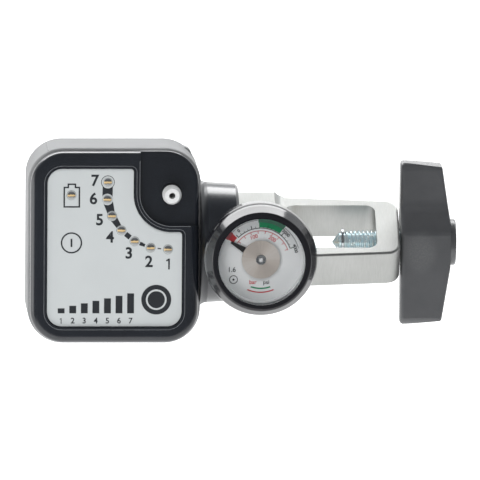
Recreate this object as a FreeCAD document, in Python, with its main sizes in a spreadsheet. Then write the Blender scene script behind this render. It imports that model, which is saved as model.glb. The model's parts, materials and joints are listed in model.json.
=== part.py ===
"""Oxygen conserver with its post-valve regulator, contents gauge and T-handle clamp.

The origin is on the regulator's main axis, in the yoke's pin-index face. +X runs from
the case to the T-handle, +Z is up along the cylinder's post. The case and the gauge
face -Y and lean back, so their pieces are drawn flat, with x along the case, y up the
panel and z out of it, and are then turned about X.
"""
import FreeCAD, Part
import math
import os
import Sketcher

Vector = FreeCAD.Vector
X_AXIS = Vector(1, 0, 0)

doc = FreeCAD.newDocument("OxygenConserver")
book = doc.addObject("Spreadsheet::Sheet", "Sizes")

# Driving dimensions in millimetres and degrees
SIZES = {
    # lean of the panel and the gauge, and the gaps between pieces
    "panel_lean": 31.5,
    "seat_gap": 0.05,
    "slip_gap": 0.3,
    "run_gap": 0.05,
    # yoke
    "root_long": 16.25,
    "root_half": 15.8,
    "root_rise": 9.3,
    "lobe_half": 9.4,
    "lobe_drop": 17.0,
    "lobe_round": 4.7,
    "lobe_root_round": 1.6,
    "arm_thick": 13.7,
    "arm_reach": 38.4,
    "arm_end_half": 13.7,
    "window_half": 11.1,
    "window_long": 30.6,
    "window_round": 3.2,
    "yoke_end_round": 4.8,
    "yoke_edge_round": 0.8,
    "step_back": 3.4,
    "step_run": 4.0,
    "spigot_radius": 8.0,
    "nipple_bore": 5.0,
    # pin index, nipple and washer
    "pin_circle": 14.29,
    "pin_angle": 18.0,
    "pin_radius": 1.98,
    "pin_root_radius": 2.15,
    "pin_root_out": 0.5,
    "pin_out": 5.5,
    "pin_deep": 7.0,
    "pin_gap": 0.01,
    "pin_tip_bevel": 0.8,
    "nipple_radius": 3.1,
    "nipple_out": 4.4,
    "nipple_long": 13.6,
    "nipple_bevel": 0.6,
    "gas_bore": 1.3,
    "filter_radius": 2.0,
    "filter_long": 6.0,
    "filter_sunk": 0.3,
    "washer_radius": 5.6,
    "washer_thick": 2.2,
    "seat_bore": 1.1,
    "seat_thick": 1.2,
    # clamp screw, ring and handle
    "screw_radius": 3.97,
    "tip_start": 15.9,
    "tip_long": 1.7,
    "tip_radius": 2.55,
    "dog_long": 1.35,
    "dog_radius": 3.2,
    "groove_wide": 0.8,
    "groove_radius": 2.6,
    "ring_radius": 4.6,
    "ring_thick": 0.7,
    "handle_gap": 0.35,
    "handle_angle": 62.0,
    "handle_half": 27.6,
    "handle_wide": 17.0,
    "handle_tip_wide": 14.2,
    "handle_tip_slant": 1.5,
    "hub_front": 7.6,
    "hub_half": 4.4,
    "wing_front": 6.0,
    "wing_back": 1.6,
    "wing_tip_round": 2.8,
    "wing_root": 12.6,
    "wing_root_round": 7.0,
    "ramp_top_round": 2.4,
    "handle_edge_round": 1.4,
    "handle_rear_round": 0.9,
    "boss_radius": 7.8,
    "boss_out": 1.9,
    "boss_round": 0.8,
    "handle_bore_deep": 14.0,
    # regulator body
    "body_radius": 20.4,
    "body_end_radius": 19.8,
    "body_long": 10.5,
    "body_wall": 2.0,
    "chamber_radius": 15.5,
    "body_edge": 0.9,
    "flare_radius": 22.0,
    "flange_spigot": 1.2,
    "neck_radius": 9.0,
    "neck_reach": 7.3,
    "neck_bore": 4.0,
    # piston and its spring
    "piston_stem": 3.0,
    "piston_bore": 1.2,
    "head_thick": 2.2,
    "piston_travel": 0.7,
    "stop_gap": 0.3,
    "seal_section": 0.8,
    "spring_radius": 10.5,
    "spring_wire": 1.3,
    "spring_turns": 2,
    # case
    "case_from_yoke": 29.2,
    "case_wide": 58.3,
    "case_tall": 66.5,
    "case_rise": 0.55,
    "case_corner": 12.0,
    "case_front": 12.0,
    "case_back": 6.0,
    "case_wall": 2.0,
    "case_web": 1.8,
    "case_edge_round": 1.0,
    "cover_deep": 6.8,
    "cover_wall": 1.8,
    "cover_edge_round": 1.5,
    # bezel, panel and pocket
    "bezel_inset": 0.75,
    "bezel_deep": 5.5,
    "bezel_skin": 2.2,
    "bed_skin": 1.1,
    "bezel_edge_round": 2.6,
    "pocket_edge_round": 1.2,
    "panel_margin": 5.7,
    "panel_corner": 5.0,
    "panel_nip": 1.0,
    "panel_gap": 0.22,
    "panel_thick": 0.5,
    "panel_sunk": 0.9,
    "panel_cut_radius": 12.85,
    "pocket_radius": 10.6,
    "pocket_deep": 3.5,
    # barb, in from the case's right side and down from its top
    "barb_from_right": 10.0,
    "barb_from_top": 15.1,
    "barb_out": 6.4,
    "barb_radius": 3.2,
    "barb_neck": 2.45,
    "barb_bore": 1.05,
    "barb_stem": 2.6,
    "barb_foot": 2.0,
    "ridge_first": 2.13,
    "ridge_step": 1.92,
    "ridge_land": 0.3,
    # lamps
    "lamp_radius": 1.6,
    "lamp_proud": 0.15,
    "lamp_bevel": 0.5,
    "lamp_arc_radius": 19.45,
    "lamp_arc_left": 2.4,
    "lamp_arc_up": 0.7,
    "lamp_first_angle": -3.65,
    "lamp_step_angle": 17.3,
    "power_lamp_left": 33.8,
    "power_lamp_down": 0.3,
    "chip_wide": 1.8,
    "chip_tall": 0.9,
    # circuit board
    "board_thick": 1.6,
    "board_gap": 0.6,
    # gauge
    "gauge_from_face": 10.2,
    "facet_height": 14.5,
    "port_radius": 4.9,
    "port_deep": 7.5,
    "port_spare": 1.5,
    "gas_way": 1.5,
    "hex_flats": 11.0,
    "hex_tall": 5.0,
    "stem_above": 2.5,
    "shaft_above": 5.0,
    "stem_neck": 4.6,
    "cup_base": 23.5,
    "cup_radius": 16.8,
    "cup_wall": 0.8,
    "cup_tall": 19.5,
    "boot_from_cup": 3.5,
    "boot_back_radius": 18.1,
    "boot_radius": 19.15,
    "boot_widest_back": 3.4,
    "boot_widest_round": 8.0,
    "boot_over_rim": 2.6,
    "boot_front_radius": 16.5,
    "boot_front_round": 1.1,
    "boot_lip": 14.6,
    "lens_radius": 15.9,
    "lens_thick": 1.6,
    "lens_crown": 0.5,
    "lens_bevel": 1.4,
    "lip_gap": 0.7,
    "dial_under_lens": 3.2,
    "dial_thick": 0.5,
    "shaft_radius": 0.8,
    "pointer_gap": 0.7,
    "pointer_thick": 0.4,
    "pointer_reach": 11.6,
    "pointer_root_wide": 3.4,
    "pointer_tip_wide": 0.7,
    "pointer_angle": 150.0,
    "hub_radius": 6.4,
    "hub_thick": 0.7,
    "coil_radius": 3.9,
    "coil_wide": 2.0,
    "coil_flat": 0.9,
    "coil_room": 0.75,
    "coil_turns": 3.0,
    # gas block, valve and sensor
    "block_left": 19.8,
    "block_right": 4.3,
    "block_down": 12.0,
    "block_from_top": 9.4,
    "block_back": 7.5,
    "valve_radius": 5.5,
    "valve_long": 12.0,
    "valve_from_right": 12.8,
    "valve_height": 3.8,
    "sensor_wide": 4.6,
    "sensor_tall": 12.0,
    "sensor_deep": 10.0,
    "sensor_from_top": 6.0,
    # batteries
    "cell_radius": 7.25,
    "cell_end_room": 4.3,
    "cell_pitch": 14.8,
    "cell_from_left": 10.5,
    "cell_height": 3.4,
    "contact_wide": 6.4,
    "contact_thick": 0.5,
    "contact_radius": 2.8,
    "contact_shelf": 1.2,
    "shelf_spare": 0.6,
    # battery door
    "door_right": 33.5,
    "door_half": 27.0,
    "door_tongue": 1.2,
    "door_tongue_thick": 0.8,
    "grip_deep": 0.5,
    "grip_wide": 1.2,
    "grip_half": 9.0,
    "grip_from_edge": 3.6,
    # selector wheel
    "wheel_radius": 8.2,
    "wheel_out": 2.0,
    "wheel_from_right": 17.4,
    "wheel_thick": 4.3,
    "wheel_groove": 0.45,
    "wheel_grooves": 24,
    "axle_radius": 1.5,
    "switch_radius": 3.8,
    "switch_thick": 1.4,
    # cover screws
    "screw_inset": 5.5,
    "cover_screw_radius": 1.3,
    "cover_screw_head": 2.4,
    "cover_head_thick": 1.2,
    "drive_radius": 0.9,
    "drive_deep": 0.6,
    "cover_screw_sunk": 1.2,
    "cover_screw_long": 11.0,
    "boss_wall": 0.9,
}


class Size:
    """A size with the formula that the document keeps and the value it has now."""

    def __init__(self, text, value):
        self.text = text
        self.value = float(value)

    def _with(self, other, sign, result, swap=False):
        other_text = other.text if isinstance(other, Size) else repr(float(other))
        pair = (other_text, self.text) if swap else (self.text, other_text)
        return Size("(%s %s %s)" % (pair[0], sign, pair[1]), result)

    def __add__(self, other):
        return self._with(other, "+", self.value + number(other))

    def __sub__(self, other):
        return self._with(other, "-", self.value - number(other))

    def __mul__(self, other):
        return self._with(other, "*", self.value * number(other))

    def __truediv__(self, other):
        return self._with(other, "/", self.value / number(other))

    def __radd__(self, other):
        return self._with(other, "+", number(other) + self.value, True)

    def __rsub__(self, other):
        return self._with(other, "-", number(other) - self.value, True)

    def __rmul__(self, other):
        return self._with(other, "*", number(other) * self.value, True)

    def __neg__(self):
        return 0 - self


def number(size):
    """The plain value of a size or of a number."""
    return size.value if isinstance(size, Size) else float(size)


def text(size):
    """The formula of a size or of a number."""
    return size.text if isinstance(size, Size) else repr(float(size))


def sine(angle):
    """Sine of an angle in degrees."""
    return Size("sin(%s)" % angle.text, math.sin(math.radians(angle.value)))


def cosine(angle):
    """Cosine of an angle in degrees."""
    return Size("cos(%s)" % angle.text, math.cos(math.radians(angle.value)))


def fill_sheet():
    """Write each driving dimension into the sheet and give it its alias."""
    sizes = {}
    for row, (name, value) in enumerate(SIZES.items(), start=1):
        book.set("A%d" % row, name.replace("_", " "))
        book.set("B%d" % row, str(value))
        book.setAlias("B%d" % row, name)
        sizes[name] = Size("Sizes." + name, value)
    doc.recompute()
    return sizes


class Names:
    """Gives each driving dimension as an attribute."""

    def __init__(self, sizes):
        self.__dict__.update(sizes)


s = Names(fill_sheet())
pieces = []


def bind(item, path, size):
    """Tie one property of an object to its formula."""
    item.setExpression(path, text(size))


def new_body(name, leaning=False, turn=None):
    """A sub-part's body, turned about X if it leans with the panel or turns with the handle."""
    body = doc.addObject("PartDesign::Body", name)
    body.Label = name
    angle = 90 - s.panel_lean if leaning else turn
    if angle is not None:
        body.Placement = FreeCAD.Placement(Vector(), FreeCAD.Rotation(X_AXIS, number(angle)))
        bind(body, "Placement.Rotation.Angle", angle)
    pieces.append(body)
    return body


def new_sketch(body, name, plane, lift=None, lean=False):
    """A sketch on one of the body's own planes, lifted along the plane's normal."""
    sketch = body.newObject("Sketcher::SketchObject", body.Name + "_" + name)
    face = [item for item in body.Origin.OriginFeatures if item.Role == plane][0]
    sketch.AttachmentSupport = [(face, "")]
    sketch.MapMode = "FlatFace"
    lift = Size("0", 0) if lift is None else lift
    if lean:
        back = 90 - s.panel_lean
        turn = FreeCAD.Rotation(X_AXIS, number(back))
        sketch.AttachmentOffset = FreeCAD.Placement(Vector(), turn)
        bind(sketch, "AttachmentOffset.Rotation.Angle", back)
        bind(sketch, "AttachmentOffset.Base.y", -(lift * cosine(s.panel_lean)))
        bind(sketch, "AttachmentOffset.Base.z", lift * sine(s.panel_lean))
    else:
        bind(sketch, "AttachmentOffset.Base.z", lift)
    return sketch


def hold(sketch, kind, size, *places):
    """Add one dimension to a sketch and tie it to its formula."""
    index = sketch.addConstraint(Sketcher.Constraint(kind, *places, number(size)))
    if isinstance(size, Size):
        sketch.setExpression("Constraints[%d]" % index, size.text)


def pin_down(sketch, edge, end, x, y):
    """Fix one point of a sketch by its two distances from the sketch's origin."""
    hold(sketch, "DistanceX", x, -1, 1, edge, end)
    hold(sketch, "DistanceY", y, -1, 1, edge, end)


def draw_outline(sketch, corners):
    """A closed outline. A corner is (x, y), or (x, y, radius) between straight square edges."""
    count = len(corners)
    spots = []
    for index, corner in enumerate(corners):
        x, y = corner[0], corner[1]
        if len(corner) == 2 or number(corner[2]) == 0:
            spots.append(("point", (x, y)))
            continue
        radius = corner[2]
        before, after = corners[index - 1], corners[(index + 1) % count]
        ways = []
        for other in (before, after):
            dx, dy = number(other[0]) - number(x), number(other[1]) - number(y)
            across = abs(dx) > abs(dy)
            ways.append((math.copysign(1, dx) if across else 0, 0 if across else math.copysign(1, dy)))
        start = (x + radius * ways[0][0], y + radius * ways[0][1])
        stop = (x + radius * ways[1][0], y + radius * ways[1][1])
        centre = (start[0] + radius * ways[1][0], start[1] + radius * ways[1][1])
        leftward = ways[0][0] * ways[1][1] - ways[0][1] * ways[1][0] < 0
        spots.append(("arc", start, stop, centre, radius, leftward))
    ends = []
    for spot in spots:
        if spot[0] == "arc":
            ends.append(draw_corner(sketch, *spot[1:]))
        else:
            ends.append(None)
    for index, spot in enumerate(spots):
        follow = spots[(index + 1) % count]
        first = spot[2] if spot[0] == "arc" else spot[1]
        last = follow[1]
        line = Part.LineSegment(Vector(number(first[0]), number(first[1]), 0),
                                Vector(number(last[0]), number(last[1]), 0))
        edge = sketch.addGeometry(line, False)
        spots[index] = spot + (edge,)
    for index, spot in enumerate(spots):
        edge = spot[-1]
        after = (index + 1) % count
        if spot[0] == "point":
            pin_down(sketch, edge, 1, *spot[1])
        else:
            arc, start_end, stop_end = ends[index]
            sketch.addConstraint(Sketcher.Constraint("Coincident", edge, 1, arc, stop_end))
        if spots[after][0] == "point":
            sketch.addConstraint(Sketcher.Constraint("Coincident", edge, 2, spots[after][-1], 1))
        else:
            arc, start_end, stop_end = ends[after]
            sketch.addConstraint(Sketcher.Constraint("Coincident", edge, 2, arc, start_end))


def draw_corner(sketch, start, stop, centre, radius, leftward):
    """The quarter arc of one outline corner, held by its two ends and its centre."""
    first, last = (start, stop) if leftward else (stop, start)
    middle = Vector(number(centre[0]), number(centre[1]), 0)
    angles = [math.atan2(number(p[1]) - middle.y, number(p[0]) - middle.x) for p in (first, last)]
    if angles[1] < angles[0]:
        angles[1] += 2 * math.pi
    circle = Part.Circle(middle, Vector(0, 0, 1), number(radius))
    arc = sketch.addGeometry(Part.ArcOfCircle(circle, *angles), False)
    pin_down(sketch, arc, 1, *first)
    pin_down(sketch, arc, 2, *last)
    hold(sketch, "DistanceX", centre[0], -1, 1, arc, 3)
    return (arc, 1, 2) if leftward else (arc, 2, 1)


def draw_circle(sketch, x, y, radius):
    """A circle held by its centre and radius."""
    middle = Vector(number(x), number(y), 0)
    edge = sketch.addGeometry(Part.Circle(middle, Vector(0, 0, 1), number(radius)), False)
    hold(sketch, "Radius", radius, edge)
    pin_down(sketch, edge, 3, x, y)


def box_corners(left, low, right, high, radius=None):
    """Corners of an upright rectangle, round by one radius if it is given."""
    corners = [(left, low), (right, low), (right, high), (left, high)]
    return [corner + (radius,) if radius is not None else corner for corner in corners]


def pad(body, sketch, length, middle=False, back=False):
    """Push a sketch out into a solid."""
    feature = body.newObject("PartDesign::Pad", sketch.Name + "_pad")
    feature.Profile = sketch
    feature.SideType = "Symmetric" if middle else "One side"
    feature.Reversed = back
    bind(feature, "Length", length)
    sketch.Visibility = False
    return feature


def cut(body, sketch, length=None, middle=False, back=False):
    """Cut a sketch into the solid, against the sketch's normal, or right through it."""
    feature = body.newObject("PartDesign::Pocket", sketch.Name + "_cut")
    feature.Profile = sketch
    feature.SideType = "Symmetric" if middle else "One side"
    feature.Reversed = back
    if length is None:
        feature.Type = "ThroughAll"
    else:
        bind(feature, "Length", length)
    return feature


def turn(body, sketch, axis="H_Axis", remove=False):
    """Revolve a sketch about one of its own axes."""
    kind = "Groove" if remove else "Revolution"
    feature = body.newObject("PartDesign::" + kind, sketch.Name + "_turned")
    feature.Profile = sketch
    feature.ReferenceAxis = (sketch, [axis])
    feature.Angle = 360
    return feature


def edges_where(shape, test):
    """Names of a shape's edges whose box passes the test."""
    return ["Edge%d" % (i + 1) for i, edge in enumerate(shape.Edges) if test(edge, edge.BoundBox)]


def soften(body, radius, test, kind="Fillet"):
    """Round or chamfer the edges of the body's last feature that pass the test."""
    doc.recompute()
    base = body.Tip
    names = edges_where(base.Shape, test)
    if not names:
        raise RuntimeError("no edge to soften on " + body.Name)
    feature = body.newObject("PartDesign::" + kind, body.Name + "_" + kind.lower())
    feature.Base = (base, names)
    bind(feature, "Radius" if kind == "Fillet" else "Size", radius)
    doc.recompute()
    return feature


def near(a, b, within=0.02):
    """Whether two plain numbers agree."""
    return abs(a - number(b)) < within


def turned_piece(name, corners, axis="H_Axis", leaning=False, middle=None):
    """A piece turned about X, or about the leaning axis z at the given x."""
    body = new_body(name, leaning)
    if axis == "H_Axis":
        sketch = new_sketch(body, "section", "XY_Plane")
        draw_outline(sketch, corners)
        turn(body, sketch)
        return body
    sketch = new_sketch(body, "section", "XZ_Plane")
    draw_outline(sketch, corners)
    turn(body, sketch, "V_Axis")
    if middle is not None:
        bind(body, "Placement.Base.x", middle)
    return body


LAMP_COUNT = 7
GRIP_COUNT = 5

# Places worked out from the sizes
FRONT_LEFT = -s.case_from_yoke - s.case_wide
CASE_RIGHT = -s.case_from_yoke
CASE_LOW = s.case_rise - s.case_tall / 2
CASE_HIGH = s.case_rise + s.case_tall / 2
BEZEL_LEFT = FRONT_LEFT + s.bezel_inset
BEZEL_RIGHT = CASE_RIGHT - s.bezel_inset
BEZEL_LOW = CASE_LOW + s.bezel_inset
BEZEL_HIGH = CASE_HIGH - s.bezel_inset
BEZEL_CORNER = s.case_corner - s.bezel_inset
BEZEL_FRONT = s.case_front + s.bezel_deep
BARB_X = CASE_RIGHT - s.barb_from_right
BARB_Y = CASE_HIGH - s.barb_from_top
POCKET_FLOOR = BEZEL_FRONT - s.pocket_deep
ARM_HALF = s.arm_thick / 2
BODY_LEFT = -s.root_long - s.body_long
CHAMBER_RIGHT = -s.root_long - s.body_wall
SPIGOT_FACE = BODY_LEFT + s.flange_spigot
HANDLE_LEFT = s.arm_reach + s.handle_gap
GAUGE_X = -s.gauge_from_face
BACK_FACE = -s.case_back - s.cover_deep
COVER_INSIDE = BACK_FACE + s.cover_wall
BOARD_BACK = s.case_front + s.seat_gap
BOARD_FRONT = BOARD_BACK + s.board_thick
LAMP_X = BARB_X - s.lamp_arc_left
LAMP_Y = BARB_Y + s.lamp_arc_up
WHEEL_X = CASE_RIGHT - s.wheel_from_right
WHEEL_Y = CASE_LOW - s.wheel_out + s.wheel_radius
WHEEL_BACK = COVER_INSIDE + s.slip_gap
CUP_RIM = s.cup_base + s.cup_tall
LENS_BASE = CUP_RIM - s.lens_thick
DIAL_TOP = LENS_BASE - s.dial_under_lens
CELL_LEFT_X = FRONT_LEFT + s.cell_from_left
CONTACT_INSET = s.case_wall + s.contact_shelf
CELL_HALF = s.case_tall / 2 - CONTACT_INSET - s.contact_thick - s.cell_end_room


def sagitta_radius(run, drop):
    """Radius of an arc that falls by drop over run and ends level."""
    return (run * run + drop * drop) / (2 * drop)


def lamp_places():
    """Centres of the setting lamps on their arc, and of the battery lamp."""
    places = []
    for step in range(LAMP_COUNT):
        angle = s.lamp_first_angle + s.lamp_step_angle * step
        x = LAMP_X - s.lamp_arc_radius * sine(angle)
        y = LAMP_Y - s.lamp_arc_radius * cosine(angle)
        places.append((x, y))
    places.append((BARB_X - s.power_lamp_left, BARB_Y - s.power_lamp_down))
    return places


# Yoke, nipple and pins
def pin_place(side):
    """Centre of an index pin on the face that meets the post, on the left (-1) or right (1)."""
    return side * s.pin_circle * sine(s.pin_angle), -(s.pin_circle * cosine(s.pin_angle))


def make_yoke():
    """Milled yoke: root block, two tapering arms, window, lobe for the index pins."""
    body = new_body("yoke")
    arms = new_sketch(body, "arms", "XY_Plane")
    draw_outline(arms, [
        (-s.root_long, -s.root_half), (0 * s.root_half, -s.root_half),
        (s.arm_reach, -s.arm_end_half), (s.arm_reach, s.arm_end_half),
        (0 * s.root_half, s.root_half), (-s.root_long, s.root_half)])
    pad(body, arms, s.arm_thick, middle=True)
    soften(body, s.yoke_end_round, lambda edge, box: (
        near(box.XMin, s.arm_reach) and near(box.XMax, s.arm_reach) and near(box.ZLength, s.arm_thick)))
    soften(body, s.yoke_edge_round, lambda edge, box: (
        near(box.ZLength, 0) and near(abs(box.ZMin), ARM_HALF) and box.XMax > 1))
    block = new_sketch(body, "block", "YZ_Plane", -s.root_long)
    draw_outline(block, [
        (-s.lobe_half, -s.lobe_drop, s.lobe_round), (s.lobe_half, -s.lobe_drop, s.lobe_round),
        (s.lobe_half, -ARM_HALF, s.lobe_root_round), (s.root_half, -ARM_HALF),
        (s.root_half, s.root_rise, s.yoke_edge_round), (-s.root_half, s.root_rise, s.yoke_edge_round),
        (-s.root_half, -ARM_HALF), (-s.lobe_half, -ARM_HALF, s.lobe_root_round)])
    pad(body, block, s.root_long)
    spigot = new_sketch(body, "spigot", "YZ_Plane", -s.root_long)
    draw_circle(spigot, 0, 0, s.spigot_radius)
    pad(body, spigot, s.body_wall, back=True)
    window = new_sketch(body, "window", "XY_Plane")
    zero = 0 * s.window_half
    draw_outline(window, box_corners(zero, -s.window_half, s.window_long, s.window_half, s.window_round))
    cut(body, window, middle=True)
    step = new_sketch(body, "step", "XZ_Plane")
    step_radius = sagitta_radius(s.step_run, s.root_rise - ARM_HALF)
    draw_circle(step, s.step_run - s.step_back, ARM_HALF + step_radius, step_radius)
    cut(body, step, middle=True)
    bore = new_sketch(body, "bore", "YZ_Plane")
    draw_circle(bore, 0, 0, s.nipple_bore)
    cut(body, bore, s.root_long + 2 * s.body_wall)
    pins = new_sketch(body, "pin_holes", "YZ_Plane")
    for side in (-1, 1):
        draw_circle(pins, *pin_place(side), s.pin_root_radius)
    cut(body, pins, s.pin_deep)
    screw = new_sketch(body, "screw_hole", "YZ_Plane", s.arm_reach)
    draw_circle(screw, 0, 0, s.screw_radius + s.run_gap)
    cut(body, screw, s.arm_reach - s.window_long + s.window_round)
    facet = new_sketch(body, "facet", "XY_Plane", s.facet_height, lean=True)
    draw_outline(facet, box_corners(-2 * s.root_long, -s.case_tall, zero, s.case_tall))
    cut(body, facet, s.root_half, back=True)
    port = new_sketch(body, "port", "XY_Plane", s.facet_height, lean=True)
    draw_circle(port, GAUGE_X, 0, s.port_radius)
    cut(body, port, s.port_deep)
    way = new_sketch(body, "gas_way", "XY_Plane", s.facet_height, lean=True)
    draw_circle(way, GAUGE_X, 0, s.gas_way)
    cut(body, way, s.facet_height)


def make_nipple():
    """Gas inlet nipple with its cross way to the gauge port."""
    bevel = s.nipple_bevel
    body = turned_piece("inlet_nipple", [
        (-s.nipple_long, s.gas_bore), (s.nipple_out - s.filter_long, s.gas_bore),
        (s.nipple_out - s.filter_long, s.filter_radius + s.seat_gap),
        (s.nipple_out, s.filter_radius + s.seat_gap), (s.nipple_out, s.nipple_radius - bevel),
        (s.nipple_out - bevel, s.nipple_radius), (0 * bevel, s.nipple_radius),
        (0 * bevel, s.nipple_bore - s.seat_gap), (-s.nipple_long, s.nipple_bore - s.seat_gap)])
    way = new_sketch(body, "cross_way", "XY_Plane", s.nipple_bore, lean=True)
    draw_circle(way, GAUGE_X, 0, s.gas_way)
    cut(body, way, s.nipple_bore)


def ring_piece(name, left, right, inner, outer):
    """A plain turned ring or sleeve about X."""
    return turned_piece(name, box_corners(left, inner, right, outer))


def make_inlet_parts():
    """Filter, sealing washer, valve seat and index pins."""
    turned_piece("inlet_filter", box_corners(
        s.nipple_out - s.filter_long + s.seat_gap, 0 * s.filter_radius,
        s.nipple_out - s.filter_sunk, s.filter_radius))
    ring_piece("seal_washer", 0 * s.washer_thick, s.washer_thick,
               s.nipple_radius + s.seat_gap, s.washer_radius)
    ring_piece("valve_seat", -s.nipple_long - s.seat_thick, -s.nipple_long, s.seat_bore,
               s.nipple_bore - s.seat_gap)
    pins = new_body("index_pins")
    pins.AllowCompound = True
    roots = new_sketch(pins, "roots", "YZ_Plane", s.seat_gap - s.pin_deep)
    studs = new_sketch(pins, "studs", "YZ_Plane", s.pin_root_out)
    for side in (-1, 1):
        draw_circle(roots, *pin_place(side), s.pin_root_radius - s.pin_gap)
        draw_circle(studs, *pin_place(side), s.pin_radius)
    pad(pins, roots, s.pin_deep + s.pin_root_out - s.seat_gap)
    pad(pins, studs, s.pin_out - s.pin_root_out)
    soften(pins, s.pin_tip_bevel, lambda edge, box: near(box.XMin, s.pin_out), "Chamfer")


# Clamp screw, ring and T-handle
GROOVE_LEFT = s.tip_start + s.tip_long + s.dog_long
RING_LEFT = GROOVE_LEFT + s.seat_gap
SCREW_END = HANDLE_LEFT + s.handle_bore_deep - s.seat_gap


def make_clamp():
    """Pointed clamp screw, the ring that keeps it in the yoke, and its handle."""
    turned_piece("clamp_screw", [
        (s.tip_start, 0), (SCREW_END, 0), (SCREW_END, s.screw_radius),
        (GROOVE_LEFT + s.groove_wide, s.screw_radius), (GROOVE_LEFT + s.groove_wide, s.groove_radius),
        (GROOVE_LEFT, s.groove_radius), (GROOVE_LEFT, s.dog_radius),
        (s.tip_start + s.tip_long + s.dog_radius - s.tip_radius, s.dog_radius),
        (s.tip_start + s.tip_long, s.tip_radius)])
    ring_piece("retaining_ring", RING_LEFT, RING_LEFT + s.ring_thick,
               s.groove_radius + s.run_gap, s.ring_radius)


def make_handle():
    """Moulded T-handle: two wings set off to opposite sides, joined by an S-shaped middle."""
    body = new_body("handle", turn=s.handle_angle)
    wings = new_sketch(body, "wings", "YZ_Plane", HANDLE_LEFT)
    draw_outline(wings, [
        (-s.handle_half, -s.wing_back), (-s.wing_root, -s.wing_back), (-s.hub_half, -s.hub_front),
        (s.handle_half, -s.wing_front), (s.handle_half, s.wing_back), (s.wing_root, s.wing_back),
        (s.hub_half, s.hub_front), (-s.handle_half, s.wing_front)])
    pad(body, wings, s.handle_wide)
    for place, radius in ((s.handle_half, s.wing_tip_round), (s.wing_root, s.wing_root_round),
                          (s.hub_half, s.ramp_top_round)):
        soften(body, radius, lambda edge, box, place=place: (
            near(box.XLength, s.handle_wide) and near(abs(box.YMin), place)))
    soften(body, s.handle_edge_round, lambda edge, box: (
        near(box.XMin, HANDLE_LEFT) and near(box.XMax, HANDLE_LEFT)))
    far = HANDLE_LEFT + s.handle_wide
    tip = HANDLE_LEFT + s.handle_tip_wide
    for side in (-1, 1):
        slope = new_sketch(body, "slope_up" if side > 0 else "slope_down", "XY_Plane")
        draw_outline(slope, [
            (far, side * s.boss_radius), (far + s.boss_out, side * s.boss_radius),
            (far + s.boss_out, side * (s.handle_half + s.boss_out)),
            (HANDLE_LEFT, side * (s.handle_half + s.boss_out)), (HANDLE_LEFT, side * s.handle_half),
            (tip, side * (s.handle_half - s.handle_tip_slant))])
        cut(body, slope, middle=True)
    soften(body, s.handle_rear_round, lambda edge, box: (
        box.XMin > number(HANDLE_LEFT + s.handle_wide / 2) and not near(box.XMin, far)))
    boss = new_sketch(body, "boss", "YZ_Plane", far)
    draw_circle(boss, 0, 0, s.boss_radius)
    pad(body, boss, s.boss_out)
    bore = new_sketch(body, "bore", "YZ_Plane", HANDLE_LEFT)
    draw_circle(bore, 0, 0, s.screw_radius + s.seat_gap)
    cut(body, bore, s.handle_bore_deep, back=True)
    soften(body, s.boss_round, lambda edge, box: near(box.XMin, far + s.boss_out))


# Regulator body, flange, piston and spring
def make_regulator():
    """Black turned body, the flared flange to the case, and the piston inside."""
    right = -s.root_long
    turned_piece("regulator_body", [
        (BODY_LEFT, s.chamber_radius), (CHAMBER_RIGHT, s.chamber_radius),
        (CHAMBER_RIGHT, s.spigot_radius + s.seat_gap), (right, s.spigot_radius + s.seat_gap),
        (right, s.body_end_radius - s.body_edge), (right - s.body_edge, s.body_end_radius),
        (BODY_LEFT, s.body_radius)])
    neck_left = CASE_RIGHT - s.neck_reach
    flange = turned_piece("neck_flange", [
        (neck_left, s.neck_bore), (SPIGOT_FACE, s.neck_bore),
        (SPIGOT_FACE, s.chamber_radius - s.seat_gap), (BODY_LEFT, s.chamber_radius - s.seat_gap),
        (BODY_LEFT, s.flare_radius), (CASE_RIGHT, s.flare_radius),
        (CASE_RIGHT, s.neck_radius), (neck_left, s.neck_radius)])
    flare = new_sketch(flange, "flare", "XY_Plane")
    radius = sagitta_radius(BODY_LEFT - CASE_RIGHT, s.flare_radius - s.body_radius)
    draw_circle(flare, BODY_LEFT, s.body_radius + radius, radius)
    turn(flange, flare, remove=True)


def make_piston():
    """Pressure-reducing piston with a hollow stem, its seal and its spring."""
    head_left = SPIGOT_FACE + s.stop_gap
    head_right = head_left + s.head_thick
    head_radius = s.chamber_radius - s.slip_gap
    stem_tip = -s.nipple_long - s.seat_thick - s.piston_travel - s.stop_gap
    land = s.head_thick / 4
    groove = head_radius - s.seal_section
    turned_piece("piston", [
        (head_left, s.piston_bore), (stem_tip, s.piston_bore), (stem_tip, s.piston_stem),
        (head_right, s.piston_stem), (head_right, head_radius), (head_right - land, head_radius),
        (head_right - land, groove), (head_left + land, groove), (head_left + land, head_radius),
        (head_left, head_radius)])
    ring_piece("piston_seal", head_left + land + s.seat_gap, head_right - land - s.seat_gap,
               groove + s.seat_gap, s.chamber_radius - s.run_gap)
    spring = new_body("piston_spring")
    wire = new_sketch(spring, "wire", "XY_Plane")
    first = head_right + s.seat_gap
    inner = s.spring_radius - s.spring_wire / 2
    draw_outline(wire, box_corners(first, inner, first + s.spring_wire, inner + s.spring_wire))
    helix = spring.newObject("PartDesign::AdditiveHelix", "piston_spring_coil")
    helix.Profile = wire
    helix.ReferenceAxis = (wire, ["H_Axis"])
    helix.Mode = "height-turns-angle"
    bind(helix, "Height", CHAMBER_RIGHT - first - s.spring_wire - s.seat_gap)
    bind(helix, "Turns", s.spring_turns)
    helix.Angle = 0


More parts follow.
